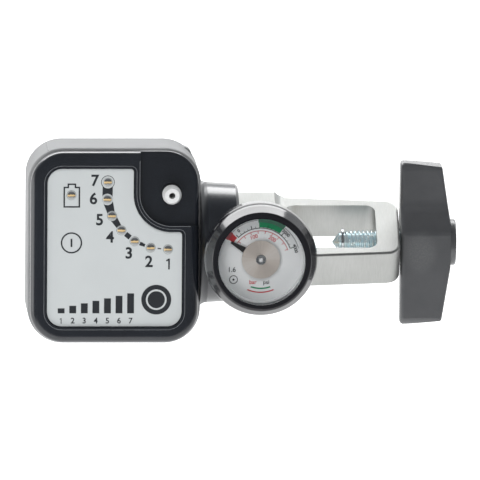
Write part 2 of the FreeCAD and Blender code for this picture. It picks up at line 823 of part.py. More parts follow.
# Gauge
def make_gauge():
    """Contents gauge: stem, cup, boot, lens, dial, pointer, hub, arbor and pressure coil."""
    stem = new_body("gauge_stem", leaning=True)
    bind(stem, "Placement.Base.x", GAUGE_X)
    base = s.facet_height - s.port_deep + s.port_spare
    floor = s.cup_base + s.cup_wall
    top = floor + s.stem_above
    section = new_sketch(stem, "section", "XZ_Plane")
    draw_outline(section, [
        (s.gas_way, base), (s.port_radius - s.seat_gap, base), (s.port_radius - s.seat_gap, s.facet_height),
        (s.stem_neck, s.facet_height), (s.stem_neck, top), (s.gas_way, top)])
    turn(stem, section, "V_Axis")
    flats = new_sketch(stem, "flats", "XY_Plane", s.facet_height)
    half, corner = s.hex_flats / 2, s.hex_flats / math.sqrt(3)
    draw_outline(flats, [
        (half, corner / 2), (0, corner), (-half, corner / 2),
        (-half, -corner / 2), (0, -corner), (half, -corner / 2)])
    pad(stem, flats, s.hex_tall)
    bore = new_sketch(stem, "bore", "XY_Plane", top)
    draw_circle(bore, 0, 0, s.gas_way)
    cut(stem, bore)

    turned_piece("gauge_case", [
        (s.stem_neck + s.seat_gap, s.cup_base), (s.cup_radius - s.cup_wall, s.cup_base),
        (s.cup_radius, s.cup_base + s.cup_wall), (s.cup_radius, CUP_RIM),
        (s.cup_radius - s.cup_wall, CUP_RIM), (s.cup_radius - s.cup_wall, s.cup_base + s.cup_wall),
        (s.stem_neck + s.seat_gap, s.cup_base + s.cup_wall)], "V_Axis", True, GAUGE_X)
    make_boot()
    crown = CUP_RIM + s.lens_crown
    turned_piece("gauge_lens", [
        (0, LENS_BASE), (s.lens_radius, LENS_BASE), (s.lens_radius, CUP_RIM),
        (s.lens_radius - s.lens_bevel, crown), (0, crown)], "V_Axis", True, GAUGE_X)
    dial_base = DIAL_TOP - s.dial_thick
    turned_piece("dial_plate", box_corners(
        s.shaft_radius + s.slip_gap, dial_base,
        s.cup_radius - s.cup_wall - s.seat_gap, DIAL_TOP), "V_Axis", True, GAUGE_X)
    hub_base = DIAL_TOP + s.pointer_gap + s.pointer_thick
    hub_top = hub_base + s.hub_thick
    turned_piece("pointer_hub", [
        (0, hub_base), (s.hub_radius, hub_base), (s.hub_radius, hub_top), (0, hub_top)],
        "V_Axis", True, GAUGE_X)
    turned_piece("pointer_shaft", box_corners(
        0 * s.shaft_radius, floor + s.shaft_above, s.shaft_radius, hub_base),
        "V_Axis", True, GAUGE_X)
    make_pointer()
    coil = new_body("bourdon_coil", leaning=True)
    bind(coil, "Placement.Base.x", GAUGE_X)
    strip = new_sketch(coil, "strip", "XZ_Plane")
    low = top + s.seat_gap
    draw_outline(strip, box_corners(s.coil_radius - s.coil_flat, low, s.coil_radius, low + s.coil_wide))
    helix = coil.newObject("PartDesign::AdditiveHelix", "bourdon_coil_turns")
    helix.Profile = strip
    helix.ReferenceAxis = (strip, ["V_Axis"])
    helix.Mode = "height-turns-angle"
    bind(helix, "Height", dial_base - s.coil_room - s.coil_wide - low)
    bind(helix, "Turns", s.coil_turns)
    helix.Angle = 0


def make_boot():
    """Rounded black ring that wraps the gauge's cup and rim."""
    boot = new_body("gauge_bezel", leaning=True)
    bind(boot, "Placement.Base.x", GAUGE_X)
    section = new_sketch(boot, "section", "XZ_Plane")
    inner, back = s.cup_radius + s.seat_gap, s.cup_base + s.boot_from_cup
    front, ledge = CUP_RIM + s.boot_over_rim, CUP_RIM + s.lip_gap
    draw_outline(section, [
        (inner, back), (s.boot_back_radius, back),
        (s.boot_radius, CUP_RIM - s.boot_widest_back), (s.boot_front_radius, front),
        (s.boot_lip, front), (s.boot_lip, ledge), (inner, ledge)])
    turn(boot, section, "V_Axis")
    for place, radius in ((s.boot_radius, s.boot_widest_round), (s.boot_front_radius, s.boot_front_round)):
        soften(boot, radius, lambda edge, box, place=place: (
            near(box.ZLength, 0) and near(box.XLength, 2 * place)))


def make_pointer():
    """Flat tapering pointer that starts under the hub and stands at the scale's zero."""
    body = new_body("pointer", leaning=True)
    bind(body, "Placement.Base.x", GAUGE_X)
    sketch = new_sketch(body, "blade", "XY_Plane", DIAL_TOP + s.pointer_gap)
    along = (cosine(s.pointer_angle), sine(s.pointer_angle))
    across = (-along[1], along[0])
    inner = s.shaft_radius + s.seat_gap

    def spot(reach, aside):
        return (reach * along[0] + aside * across[0], reach * along[1] + aside * across[1])

    half_root, half_tip = s.pointer_root_wide / 2, s.pointer_tip_wide / 2
    draw_outline(sketch, [
        spot(inner, -half_root), spot(s.pointer_reach, -half_tip),
        spot(s.pointer_reach, half_tip), spot(inner, half_root)])
    pad(body, sketch, s.pointer_thick)


# Case, cover and bezel
def make_case():
    """Cast middle of the housing: a ring of walls with a web behind the circuit board."""
    body = new_body("main_case", leaning=True)
    outer = new_sketch(body, "outer", "XY_Plane", -s.case_back)
    draw_outline(outer, box_corners(FRONT_LEFT, CASE_LOW, CASE_RIGHT, CASE_HIGH, s.case_corner))
    pad(body, outer, s.case_front + s.case_back)
    inner = new_sketch(body, "inner", "XY_Plane", -s.case_back)
    wall = s.case_wall
    draw_outline(inner, box_corners(FRONT_LEFT + wall, CASE_LOW + wall, CASE_RIGHT - wall, CASE_HIGH - wall,
                                    s.case_corner - wall))
    cut(body, inner, s.case_front + s.case_back - s.case_web, back=True)
    shelves = new_sketch(body, "contact_shelves", "XY_Plane", -s.case_back)
    reach = s.contact_wide / 2 + s.shelf_spare
    left, right = CELL_LEFT_X - reach, CELL_LEFT_X + s.cell_pitch + reach
    for low, high in ((CASE_LOW + wall / 2, CASE_LOW + wall + s.contact_shelf),
                      (CASE_HIGH - wall - s.contact_shelf, CASE_HIGH - wall / 2)):
        draw_outline(shelves, box_corners(left, low, right, high))
    pad(body, shelves, s.case_front + s.case_back - s.case_web)
    barb = new_sketch(body, "barb_hole", "XY_Plane", s.case_front)
    draw_circle(barb, BARB_X, BARB_Y, s.barb_stem + s.slip_gap)
    cut(body, barb, 2 * s.case_web)
    neck = new_sketch(body, "neck_hole", "YZ_Plane", CASE_RIGHT)
    draw_circle(neck, 0, 0, s.neck_radius + s.seat_gap)
    cut(body, neck, 2 * wall)
    for x, y in cover_screw_places():
        post = new_sketch(body, "post_%d" % (1 if number(y) > 0 else 2), "XY_Plane", -s.case_back)
        draw_circle(post, x, y, s.cover_screw_radius + s.boss_wall)
        pad(body, post, s.case_front + s.case_back - s.case_web)
        hole = new_sketch(body, "post_hole_%d" % (1 if number(y) > 0 else 2), "XY_Plane", -s.case_back)
        draw_circle(hole, x, y, s.cover_screw_radius)
        cut(body, hole, s.cover_screw_long, back=True)
    soften(body, s.case_edge_round, lambda edge, box: (
        near(box.ZMin, s.case_front) and near(box.ZMax, s.case_front)
        and (box.DiagonalLength > number(s.case_corner))))


def cover_screw_places():
    """Centres of the two cover screws at the right-hand corners."""
    x = CASE_RIGHT - s.screw_inset
    return [(x, CASE_HIGH - s.screw_inset), (x, CASE_LOW + s.screw_inset)]


def wheel_slot(body, low, deep):
    """Cut the selector wheel's slot through the lower wall."""
    slot = new_sketch(body, "wheel_slot", "XY_Plane", low)
    half = s.wheel_radius - s.slip_gap
    draw_outline(slot, box_corners(WHEEL_X - half, CASE_LOW - s.wheel_out, WHEEL_X + half,
                                   CASE_LOW + s.case_wall + s.slip_gap))
    cut(body, slot, deep, back=True)


def make_cover():
    """Back lid with the door's opening and rails, the wheel's slot and two sunk screw seats."""
    body = new_body("back_cover", leaning=True)
    outer = new_sketch(body, "outer", "XY_Plane", BACK_FACE)
    draw_outline(outer, box_corners(FRONT_LEFT, CASE_LOW, CASE_RIGHT, CASE_HIGH, s.case_corner))
    pad(body, outer, s.cover_deep)
    soften(body, s.cover_edge_round, lambda edge, box: near(box.ZMin, BACK_FACE) and near(box.ZLength, 0))
    inner = new_sketch(body, "inner", "XY_Plane", COVER_INSIDE)
    wall = s.case_wall
    draw_outline(inner, box_corners(FRONT_LEFT + wall, CASE_LOW + wall, CASE_RIGHT - wall, CASE_HIGH - wall,
                                    s.case_corner - wall))
    cut(body, inner, s.cover_deep, back=True)
    for index, (x, y) in enumerate(cover_screw_places()):
        post = new_sketch(body, "post_%d" % index, "XY_Plane", COVER_INSIDE)
        draw_circle(post, x, y, s.cover_screw_head + s.boss_wall)
        pad(body, post, s.cover_deep - s.cover_wall)
    for index, (x, y) in enumerate(cover_screw_places()):
        seat = new_sketch(body, "head_seat_%d" % index, "XY_Plane", BACK_FACE)
        draw_circle(seat, x, y, s.cover_screw_head + s.slip_gap)
        cut(body, seat, s.cover_screw_sunk + s.cover_head_thick, back=True)
        hole = new_sketch(body, "screw_way_%d" % index, "XY_Plane", BACK_FACE)
        draw_circle(hole, x, y, s.cover_screw_radius + s.slip_gap)
        cut(body, hole, s.cover_deep + s.cover_wall, back=True)
    low, high = s.case_rise - s.door_half, s.case_rise + s.door_half
    right = FRONT_LEFT + s.door_right
    gap = s.slip_gap
    doorway = new_sketch(body, "doorway", "XY_Plane", BACK_FACE)
    draw_outline(doorway, box_corners(FRONT_LEFT - s.case_wall, low - gap, right + gap, high + gap))
    cut(body, doorway, s.cover_wall + s.run_gap, back=True)
    rails = new_sketch(body, "rails", "XY_Plane", COVER_INSIDE + s.run_gap)
    tongue = s.door_tongue + gap
    draw_outline(rails, box_corners(FRONT_LEFT - s.case_wall, low - tongue, right + gap, high + tongue))
    cut(body, rails, s.door_tongue_thick + 2 * s.run_gap)
    wheel_slot(body, COVER_INSIDE, s.cover_deep)
    axle = new_sketch(body, "axle_hole", "XY_Plane", COVER_INSIDE)
    draw_circle(axle, WHEEL_X, WHEEL_Y, s.axle_radius + s.seat_gap)
    cut(body, axle, s.cover_wall - s.boss_wall)
    neck = new_sketch(body, "neck_notch", "YZ_Plane", CASE_RIGHT)
    draw_circle(neck, 0, 0, s.neck_radius + s.seat_gap)
    cut(body, neck, 2 * wall)


def draw_beyond_case(sketch):
    """A box outside the case: what is drawn inside it is kept when it is cut."""
    spare = s.case_wall
    draw_outline(sketch, box_corners(FRONT_LEFT - spare, CASE_LOW - spare,
                                     CASE_RIGHT + spare, CASE_HIGH + spare))


def make_door():
    """Sliding battery door with a tongue on each long side and grip ribs."""
    body = new_body("battery_door", leaning=True)
    low, high = s.case_rise - s.door_half, s.case_rise + s.door_half
    right = FRONT_LEFT + s.door_right
    plate = new_sketch(body, "plate", "XY_Plane", BACK_FACE)
    draw_outline(plate, box_corners(FRONT_LEFT, CASE_LOW, CASE_RIGHT, CASE_HIGH, s.case_corner))
    pad(body, plate, s.cover_wall)
    soften(body, s.cover_edge_round, lambda edge, box: near(box.ZMin, BACK_FACE) and near(box.ZLength, 0))
    trim = new_sketch(body, "trim", "XY_Plane", BACK_FACE)
    draw_beyond_case(trim)
    draw_outline(trim, box_corners(FRONT_LEFT - s.door_tongue, low, right, high))
    cut(body, trim, s.cover_deep, back=True)
    tongues = new_sketch(body, "tongues", "XY_Plane", COVER_INSIDE)
    draw_outline(tongues, box_corners(FRONT_LEFT, low - s.door_tongue, right, high + s.door_tongue))
    pad(body, tongues, s.door_tongue_thick, back=True)
    grips = new_sketch(body, "grips", "XY_Plane", BACK_FACE)
    for index in range(GRIP_COUNT):
        x = right - s.grip_from_edge - 2 * index * s.grip_wide
        draw_outline(grips, box_corners(x - s.grip_wide, s.case_rise - s.grip_half,
                                        x, s.case_rise + s.grip_half))
    cut(body, grips, s.grip_deep, back=True)
    ends = new_sketch(body, "tongue_ends", "XY_Plane", BACK_FACE)
    draw_beyond_case(ends)
    draw_outline(ends, box_corners(FRONT_LEFT, CASE_LOW, CASE_RIGHT, CASE_HIGH, s.case_corner))
    cut(body, ends, s.cover_deep, back=True)


def make_bezel():
    """Black front bezel: round edge, sunk panel bed, stepped pocket round the barb, hollow back."""
    body = new_body("front_bezel", leaning=True)
    left, low = BARB_X - s.pocket_radius, BARB_Y - s.pocket_radius
    base = new_sketch(body, "base", "XY_Plane", s.case_front)
    draw_outline(base, box_corners(BEZEL_LEFT, BEZEL_LOW, BEZEL_RIGHT, BEZEL_HIGH, BEZEL_CORNER))
    pad(body, base, s.bezel_deep - s.pocket_deep)
    soften(body, s.pocket_edge_round, lambda edge, box: (
        near(box.ZLength, 0) and near(box.ZMin, POCKET_FLOOR)))
    raised = new_sketch(body, "raised", "XY_Plane", s.case_front)
    draw_outline(raised, [
        (BEZEL_LEFT, BEZEL_LOW, BEZEL_CORNER), (BEZEL_RIGHT, BEZEL_LOW, BEZEL_CORNER),
        (BEZEL_RIGHT, low), (left, low, s.pocket_radius), (left, BEZEL_HIGH),
        (BEZEL_LEFT, BEZEL_HIGH, BEZEL_CORNER)])
    pad(body, raised, s.bezel_deep)
    soften(body, s.bezel_edge_round, lambda edge, box: (
        near(box.ZLength, 0) and near(box.ZMin, BEZEL_FRONT) and on_bezel_rim(box)))
    bed = new_sketch(body, "panel_bed", "XY_Plane", BEZEL_FRONT)
    draw_outline(bed, panel_corners(s.panel_gap))
    cut(body, bed, s.panel_sunk + s.panel_thick)
    hollow = new_sketch(body, "hollow", "XY_Plane", s.case_front)
    skin = s.bezel_skin
    draw_outline(hollow, [
        (BEZEL_LEFT + skin, BEZEL_LOW + skin, BEZEL_CORNER - skin),
        (BEZEL_RIGHT - skin, BEZEL_LOW + skin, BEZEL_CORNER - skin),
        (BEZEL_RIGHT - skin, low - skin), (left - skin, low - skin),
        (left - skin, BEZEL_HIGH - skin), (BEZEL_LEFT + skin, BEZEL_HIGH - skin, BEZEL_CORNER - skin)])
    hollow_deep = s.bezel_deep - s.panel_sunk - s.panel_thick - s.bed_skin
    cut(body, hollow, hollow_deep, back=True)
    holes = new_sketch(body, "lamp_holes", "XY_Plane", BEZEL_FRONT)
    for x, y in lamp_places():
        draw_circle(holes, x, y, s.lamp_radius + s.seat_gap)
    cut(body, holes, s.bezel_deep)
    barb = new_sketch(body, "barb_hole", "XY_Plane", BEZEL_FRONT)
    draw_circle(barb, BARB_X, BARB_Y, s.barb_stem + s.seat_gap)
    cut(body, barb, s.bezel_deep)


def on_bezel_rim(box):
    """Whether an edge lies on the bezel's outer outline, not on the pocket's wall."""
    left, low = number(BARB_X - s.pocket_radius), number(BARB_Y - s.pocket_radius)
    return box.XMin < left - 0.1 or box.YMin < low - 0.1


def panel_corners(gap):
    """Outline of the panel, or of its bed with a gap, cut away round the pocket."""
    left, right = BEZEL_LEFT + s.panel_margin - gap, BEZEL_RIGHT - s.panel_margin + gap
    low, high = BEZEL_LOW + s.panel_margin - gap, BEZEL_HIGH - s.panel_margin + gap
    cut_radius = s.panel_cut_radius - gap
    cut_x, cut_y = BARB_X - cut_radius, BARB_Y - cut_radius
    corner, nip = s.panel_corner, s.panel_nip
    return [
        (left, low, corner), (right, low, corner), (right, cut_y, nip),
        (cut_x, cut_y, cut_radius), (cut_x, high, nip), (left, high, corner)]


def make_panel():
    """Thin printed panel with round windows for its lamps."""
    body = new_body("panel_overlay", leaning=True)
    outline = new_sketch(body, "outline", "XY_Plane", BEZEL_FRONT - s.panel_sunk - s.panel_thick)
    draw_outline(outline, panel_corners(0 * s.panel_sunk))
    pad(body, outline, s.panel_thick)
    holes = new_sketch(body, "lamp_holes", "XY_Plane", BEZEL_FRONT)
    for x, y in lamp_places():
        draw_circle(holes, x, y, s.lamp_radius + s.seat_gap)
    cut(body, holes, s.bezel_deep)


def make_lamps():
    """Clear windows in the panel, and the lamp chips below them on the board."""
    windows = new_body("led_windows", leaning=True)
    windows.AllowCompound = True
    low = BOARD_FRONT + s.chip_tall + s.seat_gap
    spots = new_sketch(windows, "spots", "XY_Plane", low)
    for x, y in lamp_places():
        draw_circle(spots, x, y, s.lamp_radius)
    top = BEZEL_FRONT - s.panel_sunk + s.lamp_proud
    pad(windows, spots, top - low)
    soften(windows, s.lamp_bevel, lambda edge, box: (
        near(box.ZMin, top) and near(box.ZLength, 0)), "Chamfer")
    chips = new_body("led_chips", leaning=True)
    chips.AllowCompound = True
    squares = new_sketch(chips, "squares", "XY_Plane", BOARD_FRONT)
    half = s.chip_wide / 2
    for x, y in lamp_places():
        draw_outline(squares, box_corners(x - half, y - half, x + half, y + half))
    pad(chips, squares, s.chip_tall)


def make_board():
    """Circuit board in the bezel's hollow, cut away round the pocket."""
    body = new_body("circuit_board", leaning=True)
    inset = s.bezel_skin + s.board_gap
    left, low = BEZEL_LEFT + inset, BEZEL_LOW + inset
    right, high = BEZEL_RIGHT - inset, BEZEL_HIGH - inset
    cut_x = BARB_X - s.pocket_radius - inset
    cut_y = BARB_Y - s.pocket_radius - inset
    corner = BEZEL_CORNER - inset
    outline = new_sketch(body, "outline", "XY_Plane", BOARD_BACK)
    draw_outline(outline, [
        (left, low, corner), (right, low, corner), (right, cut_y), (cut_x, cut_y),
        (cut_x, high), (left, high, corner)])
    pad(body, outline, s.board_thick)


def stand_at(body, x, y):
    """Move a leaning body so that its z axis passes through a place on the panel."""
    bind(body, "Placement.Base.x", x)
    bind(body, "Placement.Base.y", y * sine(s.panel_lean))
    bind(body, "Placement.Base.z", y * cosine(s.panel_lean))


def make_barb():
    """Turned hose barb that screws into the gas block through the case, and its seal."""
    foot = s.case_front - s.case_web - s.barb_foot
    top = POCKET_FLOOR + s.barb_out
    neck = s.barb_neck
    barb = new_body("outlet_barb", leaning=True)
    stand_at(barb, BARB_X, BARB_Y)
    section = new_sketch(barb, "section", "XZ_Plane")
    first = POCKET_FLOOR + s.ridge_first
    second = first + s.ridge_step
    draw_outline(section, [
        (s.barb_bore, foot), (s.barb_stem, foot), (s.barb_stem, POCKET_FLOOR),
        (neck, POCKET_FLOOR), (neck, first), (s.barb_radius, first),
        (s.barb_radius, first + s.ridge_land), (neck, second), (s.barb_radius, second),
        (s.barb_radius, second + s.ridge_land), (neck, top), (s.barb_bore, top)])
    turn(barb, section, "V_Axis")
    seal = new_body("barb_seal", leaning=True)
    stand_at(seal, BARB_X, BARB_Y)
    ring = new_sketch(seal, "section", "XZ_Plane")
    inner, low = neck + s.seat_gap, POCKET_FLOOR + s.seat_gap
    draw_outline(ring, box_corners(inner, low, inner + s.seal_section, low + s.seal_section))
    turn(seal, ring, "V_Axis")


def make_gas_block():
    """Gas block on the regulator's neck, the pulse valve below it and the breath sensor beside it."""
    block = new_body("valve_manifold", leaning=True)
    left, right = CASE_RIGHT - s.block_left, CASE_RIGHT - s.block_right
    block_top = CASE_HIGH - s.block_from_top
    outline = new_sketch(block, "outline", "XY_Plane", -s.block_back)
    draw_outline(outline, box_corners(left, -s.block_down, right, block_top))
    front = s.case_front - s.case_web - s.seat_gap
    pad(block, outline, front + s.block_back)
    neck = new_sketch(block, "neck_bore", "YZ_Plane", right)
    draw_circle(neck, 0, 0, s.neck_radius + s.seat_gap)
    cut(block, neck, s.neck_reach - s.block_right + s.seat_gap)
    barb = new_sketch(block, "barb_bore", "XY_Plane", front)
    draw_circle(barb, BARB_X, BARB_Y, s.barb_stem + s.seat_gap)
    cut(block, barb, s.barb_foot)

    valve = new_body("solenoid_valve", leaning=True)
    can = new_sketch(valve, "can", "XZ_Plane", s.block_down + s.seat_gap)
    draw_circle(can, CASE_RIGHT - s.valve_from_right, s.valve_height, s.valve_radius)
    pad(valve, can, s.valve_long)

    sensor = new_body("breath_sensor", leaning=True)
    outline = new_sketch(sensor, "outline", "XY_Plane", front - s.sensor_deep)
    high = block_top - s.sensor_from_top
    draw_outline(outline, box_corners(left - s.seat_gap - s.sensor_wide, high - s.sensor_tall,
                                      left - s.seat_gap, high))
    pad(sensor, outline, s.sensor_deep)


def make_batteries():
    """Two cells, and at each end a contact plate with its round spring."""
    cells = new_body("battery_cells", leaning=True)
    cells.AllowCompound = True
    low, high = s.case_rise - CELL_HALF, s.case_rise + CELL_HALF
    places = [CELL_LEFT_X, CELL_LEFT_X + s.cell_pitch]
    cans = new_sketch(cells, "cans", "XZ_Plane", -high)
    for x in places:
        draw_circle(cans, x, -s.cell_height, s.cell_radius)
    pad(cells, cans, 2 * CELL_HALF)
    contacts = new_body("battery_contacts", leaning=True)
    contacts.AllowCompound = True
    half = s.contact_wide / 2
    wall_low, wall_high = CASE_LOW + CONTACT_INSET, CASE_HIGH - CONTACT_INSET
    ends = [("low", wall_low + s.contact_thick, low - s.seat_gap),
            ("high", wall_high, wall_high - s.contact_thick)]
    spring_longs = [low - s.seat_gap - wall_low - s.contact_thick,
                    wall_high - s.contact_thick - high - s.seat_gap]
    for (end, plate_top, spring_top), spring_long in zip(ends, spring_longs):
        plates = new_sketch(contacts, end + "_plates", "XZ_Plane", -plate_top)
        for x in places:
            draw_outline(plates, box_corners(x - half, -s.cell_height - half,
                                             x + half, half - s.cell_height))
        pad(contacts, plates, s.contact_thick)
        springs = new_sketch(contacts, end + "_springs", "XZ_Plane", -spring_top)
        for x in places:
            draw_circle(springs, x, -s.cell_height, s.contact_radius)
        pad(contacts, springs, spring_long)


def make_selector():
    """Grooved setting wheel on its axle, with the coded wafer beside it."""
    front = WHEEL_BACK + s.wheel_thick
    wafer_back = front + s.slip_gap
    axle_top = wafer_back + s.switch_thick
    axle_foot = COVER_INSIDE - s.cover_wall + s.boss_wall + s.seat_gap
    turned = [
        ("selector_axle", 0, axle_foot, s.axle_radius, axle_top),
        ("selector_wheel", s.axle_radius + s.run_gap, WHEEL_BACK, s.wheel_radius, front),
        ("selector_switch", s.axle_radius + s.seat_gap, wafer_back, s.switch_radius, axle_top)]
    for name, inner, low, outer, high in turned:
        body = new_body(name, leaning=True)
        stand_at(body, WHEEL_X, WHEEL_Y)
        section = new_sketch(body, "section", "XZ_Plane")
        draw_outline(section, box_corners(inner, low, outer, high))
        turn(body, section, "V_Axis")
        if name == "selector_wheel":
            cut_grooves(body)


def cut_grooves(wheel):
    """Finger grooves all round the selector wheel."""
    groove = new_sketch(wheel, "groove", "XY_Plane", WHEEL_BACK)
    draw_circle(groove, s.wheel_radius, 0, s.wheel_groove)
    first = cut(wheel, groove, s.wheel_thick, back=True)
    ring = wheel.newObject("PartDesign::PolarPattern", "selector_wheel_grooves")
    ring.Originals = [first]
    ring.Axis = (groove, ["N_Axis"])
    ring.Angle = 360
    bind(ring, "Occurrences", s.wheel_grooves)
    wheel.Tip = ring


def make_cover_screws():
    """Two countersunk cover screws."""
    body = new_body("case_screws", leaning=True)
    body.AllowCompound = True
    places = cover_screw_places()
    seat = BACK_FACE + s.cover_screw_sunk + s.cover_head_thick
    heads = new_sketch(body, "heads", "XY_Plane", BACK_FACE + s.cover_screw_sunk)
    shanks = new_sketch(body, "shanks", "XY_Plane", seat)
    for x, y in places:
        draw_circle(heads, x, y, s.cover_screw_head)
        draw_circle(shanks, x, y, s.cover_screw_radius - s.seat_gap)
    pad(body, heads, s.cover_head_thick)
    pad(body, shanks, s.cover_screw_long)
    slots = new_sketch(body, "drives", "XY_Plane", BACK_FACE + s.cover_screw_sunk)
    for x, y in places:
        draw_circle(slots, x, y, s.drive_radius)
    cut(body, slots, s.drive_deep, back=True)


def check_and_write():
    """Stop on any failed object or bad shape, then write each sub-part to its own file."""
    doc.recompute()
    for item in doc.Objects:
        if "Invalid" in item.State or "Error" in item.State:
            raise RuntimeError("failed object: " + item.Name)
    os.makedirs("parts", exist_ok=True)
    for piece in pieces:
        if piece.Shape.isNull() or not piece.Shape.isValid():
            raise RuntimeError("bad shape: " + piece.Label)
    for piece in pieces:
        piece.Shape.exportStep("parts/%s.step" % piece.Label)


make_yoke()
make_nipple()
make_inlet_parts()
make_clamp()
make_handle()
make_regulator()
make_piston()
make_gauge()
make_case()
make_cover()
make_door()
make_bezel()
make_panel()
make_lamps()
make_board()
make_barb()
make_gas_block()
make_batteries()
make_selector()
make_cover_screws()
check_and_write()
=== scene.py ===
import json
import math

import bmesh
import bpy
from mathutils import Matrix, Vector


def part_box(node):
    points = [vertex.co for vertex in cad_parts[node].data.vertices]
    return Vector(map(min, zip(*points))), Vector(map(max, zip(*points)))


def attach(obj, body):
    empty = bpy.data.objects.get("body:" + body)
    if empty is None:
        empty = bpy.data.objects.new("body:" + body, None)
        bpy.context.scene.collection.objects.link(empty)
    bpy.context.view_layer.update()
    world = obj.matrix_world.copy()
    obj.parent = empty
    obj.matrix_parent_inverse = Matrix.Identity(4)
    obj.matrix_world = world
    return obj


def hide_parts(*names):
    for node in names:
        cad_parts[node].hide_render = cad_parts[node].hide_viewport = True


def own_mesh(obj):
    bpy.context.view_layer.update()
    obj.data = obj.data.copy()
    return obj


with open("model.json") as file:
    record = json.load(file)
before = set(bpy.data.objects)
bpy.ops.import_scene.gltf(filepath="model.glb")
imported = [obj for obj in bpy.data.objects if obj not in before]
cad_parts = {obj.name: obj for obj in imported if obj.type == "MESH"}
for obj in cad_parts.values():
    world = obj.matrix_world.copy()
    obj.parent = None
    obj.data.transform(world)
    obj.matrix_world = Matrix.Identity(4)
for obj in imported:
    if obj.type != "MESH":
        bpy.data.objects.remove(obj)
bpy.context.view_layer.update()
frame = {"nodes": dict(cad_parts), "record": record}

record = frame["record"]

# The panel and the gauge lean back by this much. Their frame has x along the case, up along
# the panel and out towards the reader. Sizes are in millimetres up to the meshes.
MM = 0.001
LEAN = math.radians(31.5)
ALONG = Vector((1, 0, 0))
UP = Vector((0, math.sin(LEAN), math.cos(LEAN)))
OUT = Vector((0, -math.cos(LEAN), math.sin(LEAN)))
LEANING = Matrix((
    (MM, 0, 0, 0),
    (0, UP.y * MM, OUT.y * MM, 0),
    (0, UP.z * MM, OUT.z * MM, 0),
    (0, 0, 0, 1)))


def reach(node, way):
    """How far a CAD piece reaches along a direction, in millimetres to a thousandth."""
    places = [vertex.co.dot(way) / MM for vertex in frame["nodes"][node].data.vertices]
    return round(min(places), 3), round(max(places), 3)


def middle(node, way):
    """The middle of a CAD piece along a direction, in millimetres."""
    return sum(reach(node, way)) / 2


PANEL_LEFT, PANEL_RIGHT = reach("panel_overlay", ALONG)
PANEL_LOW, PANEL_HIGH = reach("panel_overlay", UP)
PANEL_TOP = reach("panel_overlay", OUT)[1]
BEZEL_TOP = reach("front_bezel", OUT)[1]
BARB_RADIUS = 3.2
BARB = Vector((reach("outlet_barb", ALONG)[1] - BARB_RADIUS, middle("outlet_barb", UP)))
GAUGE_X = middle("gauge_lens", ALONG)
GAUGE_AXIS = GAUGE_X * ALONG
DIAL_TOP = reach("dial_plate", OUT)[1]
HUB_TOP = reach("pointer_hub", OUT)[1]
TRAVELS = {joint["name"]: joint.get("range_m") for joint in record["behaviour"]["joints"]}
PISTON_TRAVEL = TRAVELS["piston_travel"][1]
# How high the print stands, in millimetres
INK = 0.03
# Corners closer than this are merged, in metres
SEAM = 1e-7


# Node trees

class Wire:
    """A socket in a tree of nodes that can be used in plain sums."""

    def __init__(self, nodes, socket):
        self.nodes = nodes
        self.socket = socket

    def _maths(self, operation, *values):
        return self.nodes.node("ShaderNodeMath", values, operation=operation)

    def __add__(self, other):
        return self._maths("ADD", self, other)

    __radd__ = __add__

    def __sub__(self, other):
        return self._maths("SUBTRACT", self, other)

    def __rsub__(self, other):
        return self._maths("SUBTRACT", other, self)

    def __mul__(self, other):
        return self._maths("MULTIPLY", self, other)

    __rmul__ = __mul__

    def __truediv__(self, other):
        return self._maths("DIVIDE", self, other)

    def __rtruediv__(self, other):
        return self._maths("DIVIDE", other, self)

    def __pow__(self, other):
        return self._maths("POWER", self, other)

    def apply(self, operation, *others):
        """Any other operation of a maths node, such as SINE or ARCTAN2."""
        return self._maths(operation, self, *others)

    def band(self, low, high):
        """0 below low, 1 above high, smooth between."""
        sockets = {"Value": self, "From Min": low, "From Max": high}
        return self.nodes.node("ShaderNodeMapRange", sockets, interpolation_type="SMOOTHSTEP")


def set_stops(ramp, stops):
    """Give a colour ramp its (place, colour) stops."""
    while len(ramp.elements) < len(stops):
        ramp.elements.new(0.5)
    for element, (place, colour) in zip(ramp.elements, stops):
        element.position = place
        element.color = (*colour, 1)


class Nodes:
    """A tree of nodes, filled by one method."""

    def __init__(self, tree):
        self.tree = tree

    def node(self, kind, sockets=(), output=0, **settings):
        """Any node: its settings are set first, then the values or links of its sockets."""
        node = self.tree.nodes.new(kind)
        for key, value in settings.items():
            if key == "stops":
                set_stops(node.color_ramp, value)
            else:
                setattr(node, key, value)
        for key, value in sockets.items() if isinstance(sockets, dict) else enumerate(sockets):
            self.join(node.inputs[key], value)
        return Wire(self, node.outputs[output])

    def join(self, socket, value):
        """Link a socket to a wire, or give it a value."""
        if isinstance(value, Wire):
            self.tree.links.new(value.socket, socket)
        elif isinstance(value, (tuple, list)) and len(value) == 3 and socket.type == "RGBA":
            socket.default_value = (*value, 1)
        else:
            socket.default_value = value

    def split(self, vector):
        """The x, y and z of a vector."""
        parts = self.node("ShaderNodeSeparateXYZ", [vector]).socket.node
        return [Wire(self, output) for output in parts.outputs]


def as_mesh(holder):
    """The plain mesh that an object makes. The object is removed."""
    bpy.context.scene.collection.objects.link(holder)
    mesh = bpy.data.meshes.new_from_object(holder.evaluated_get(bpy.context.evaluated_depsgraph_get()))
    bpy.data.objects.remove(holder)
    return mesh


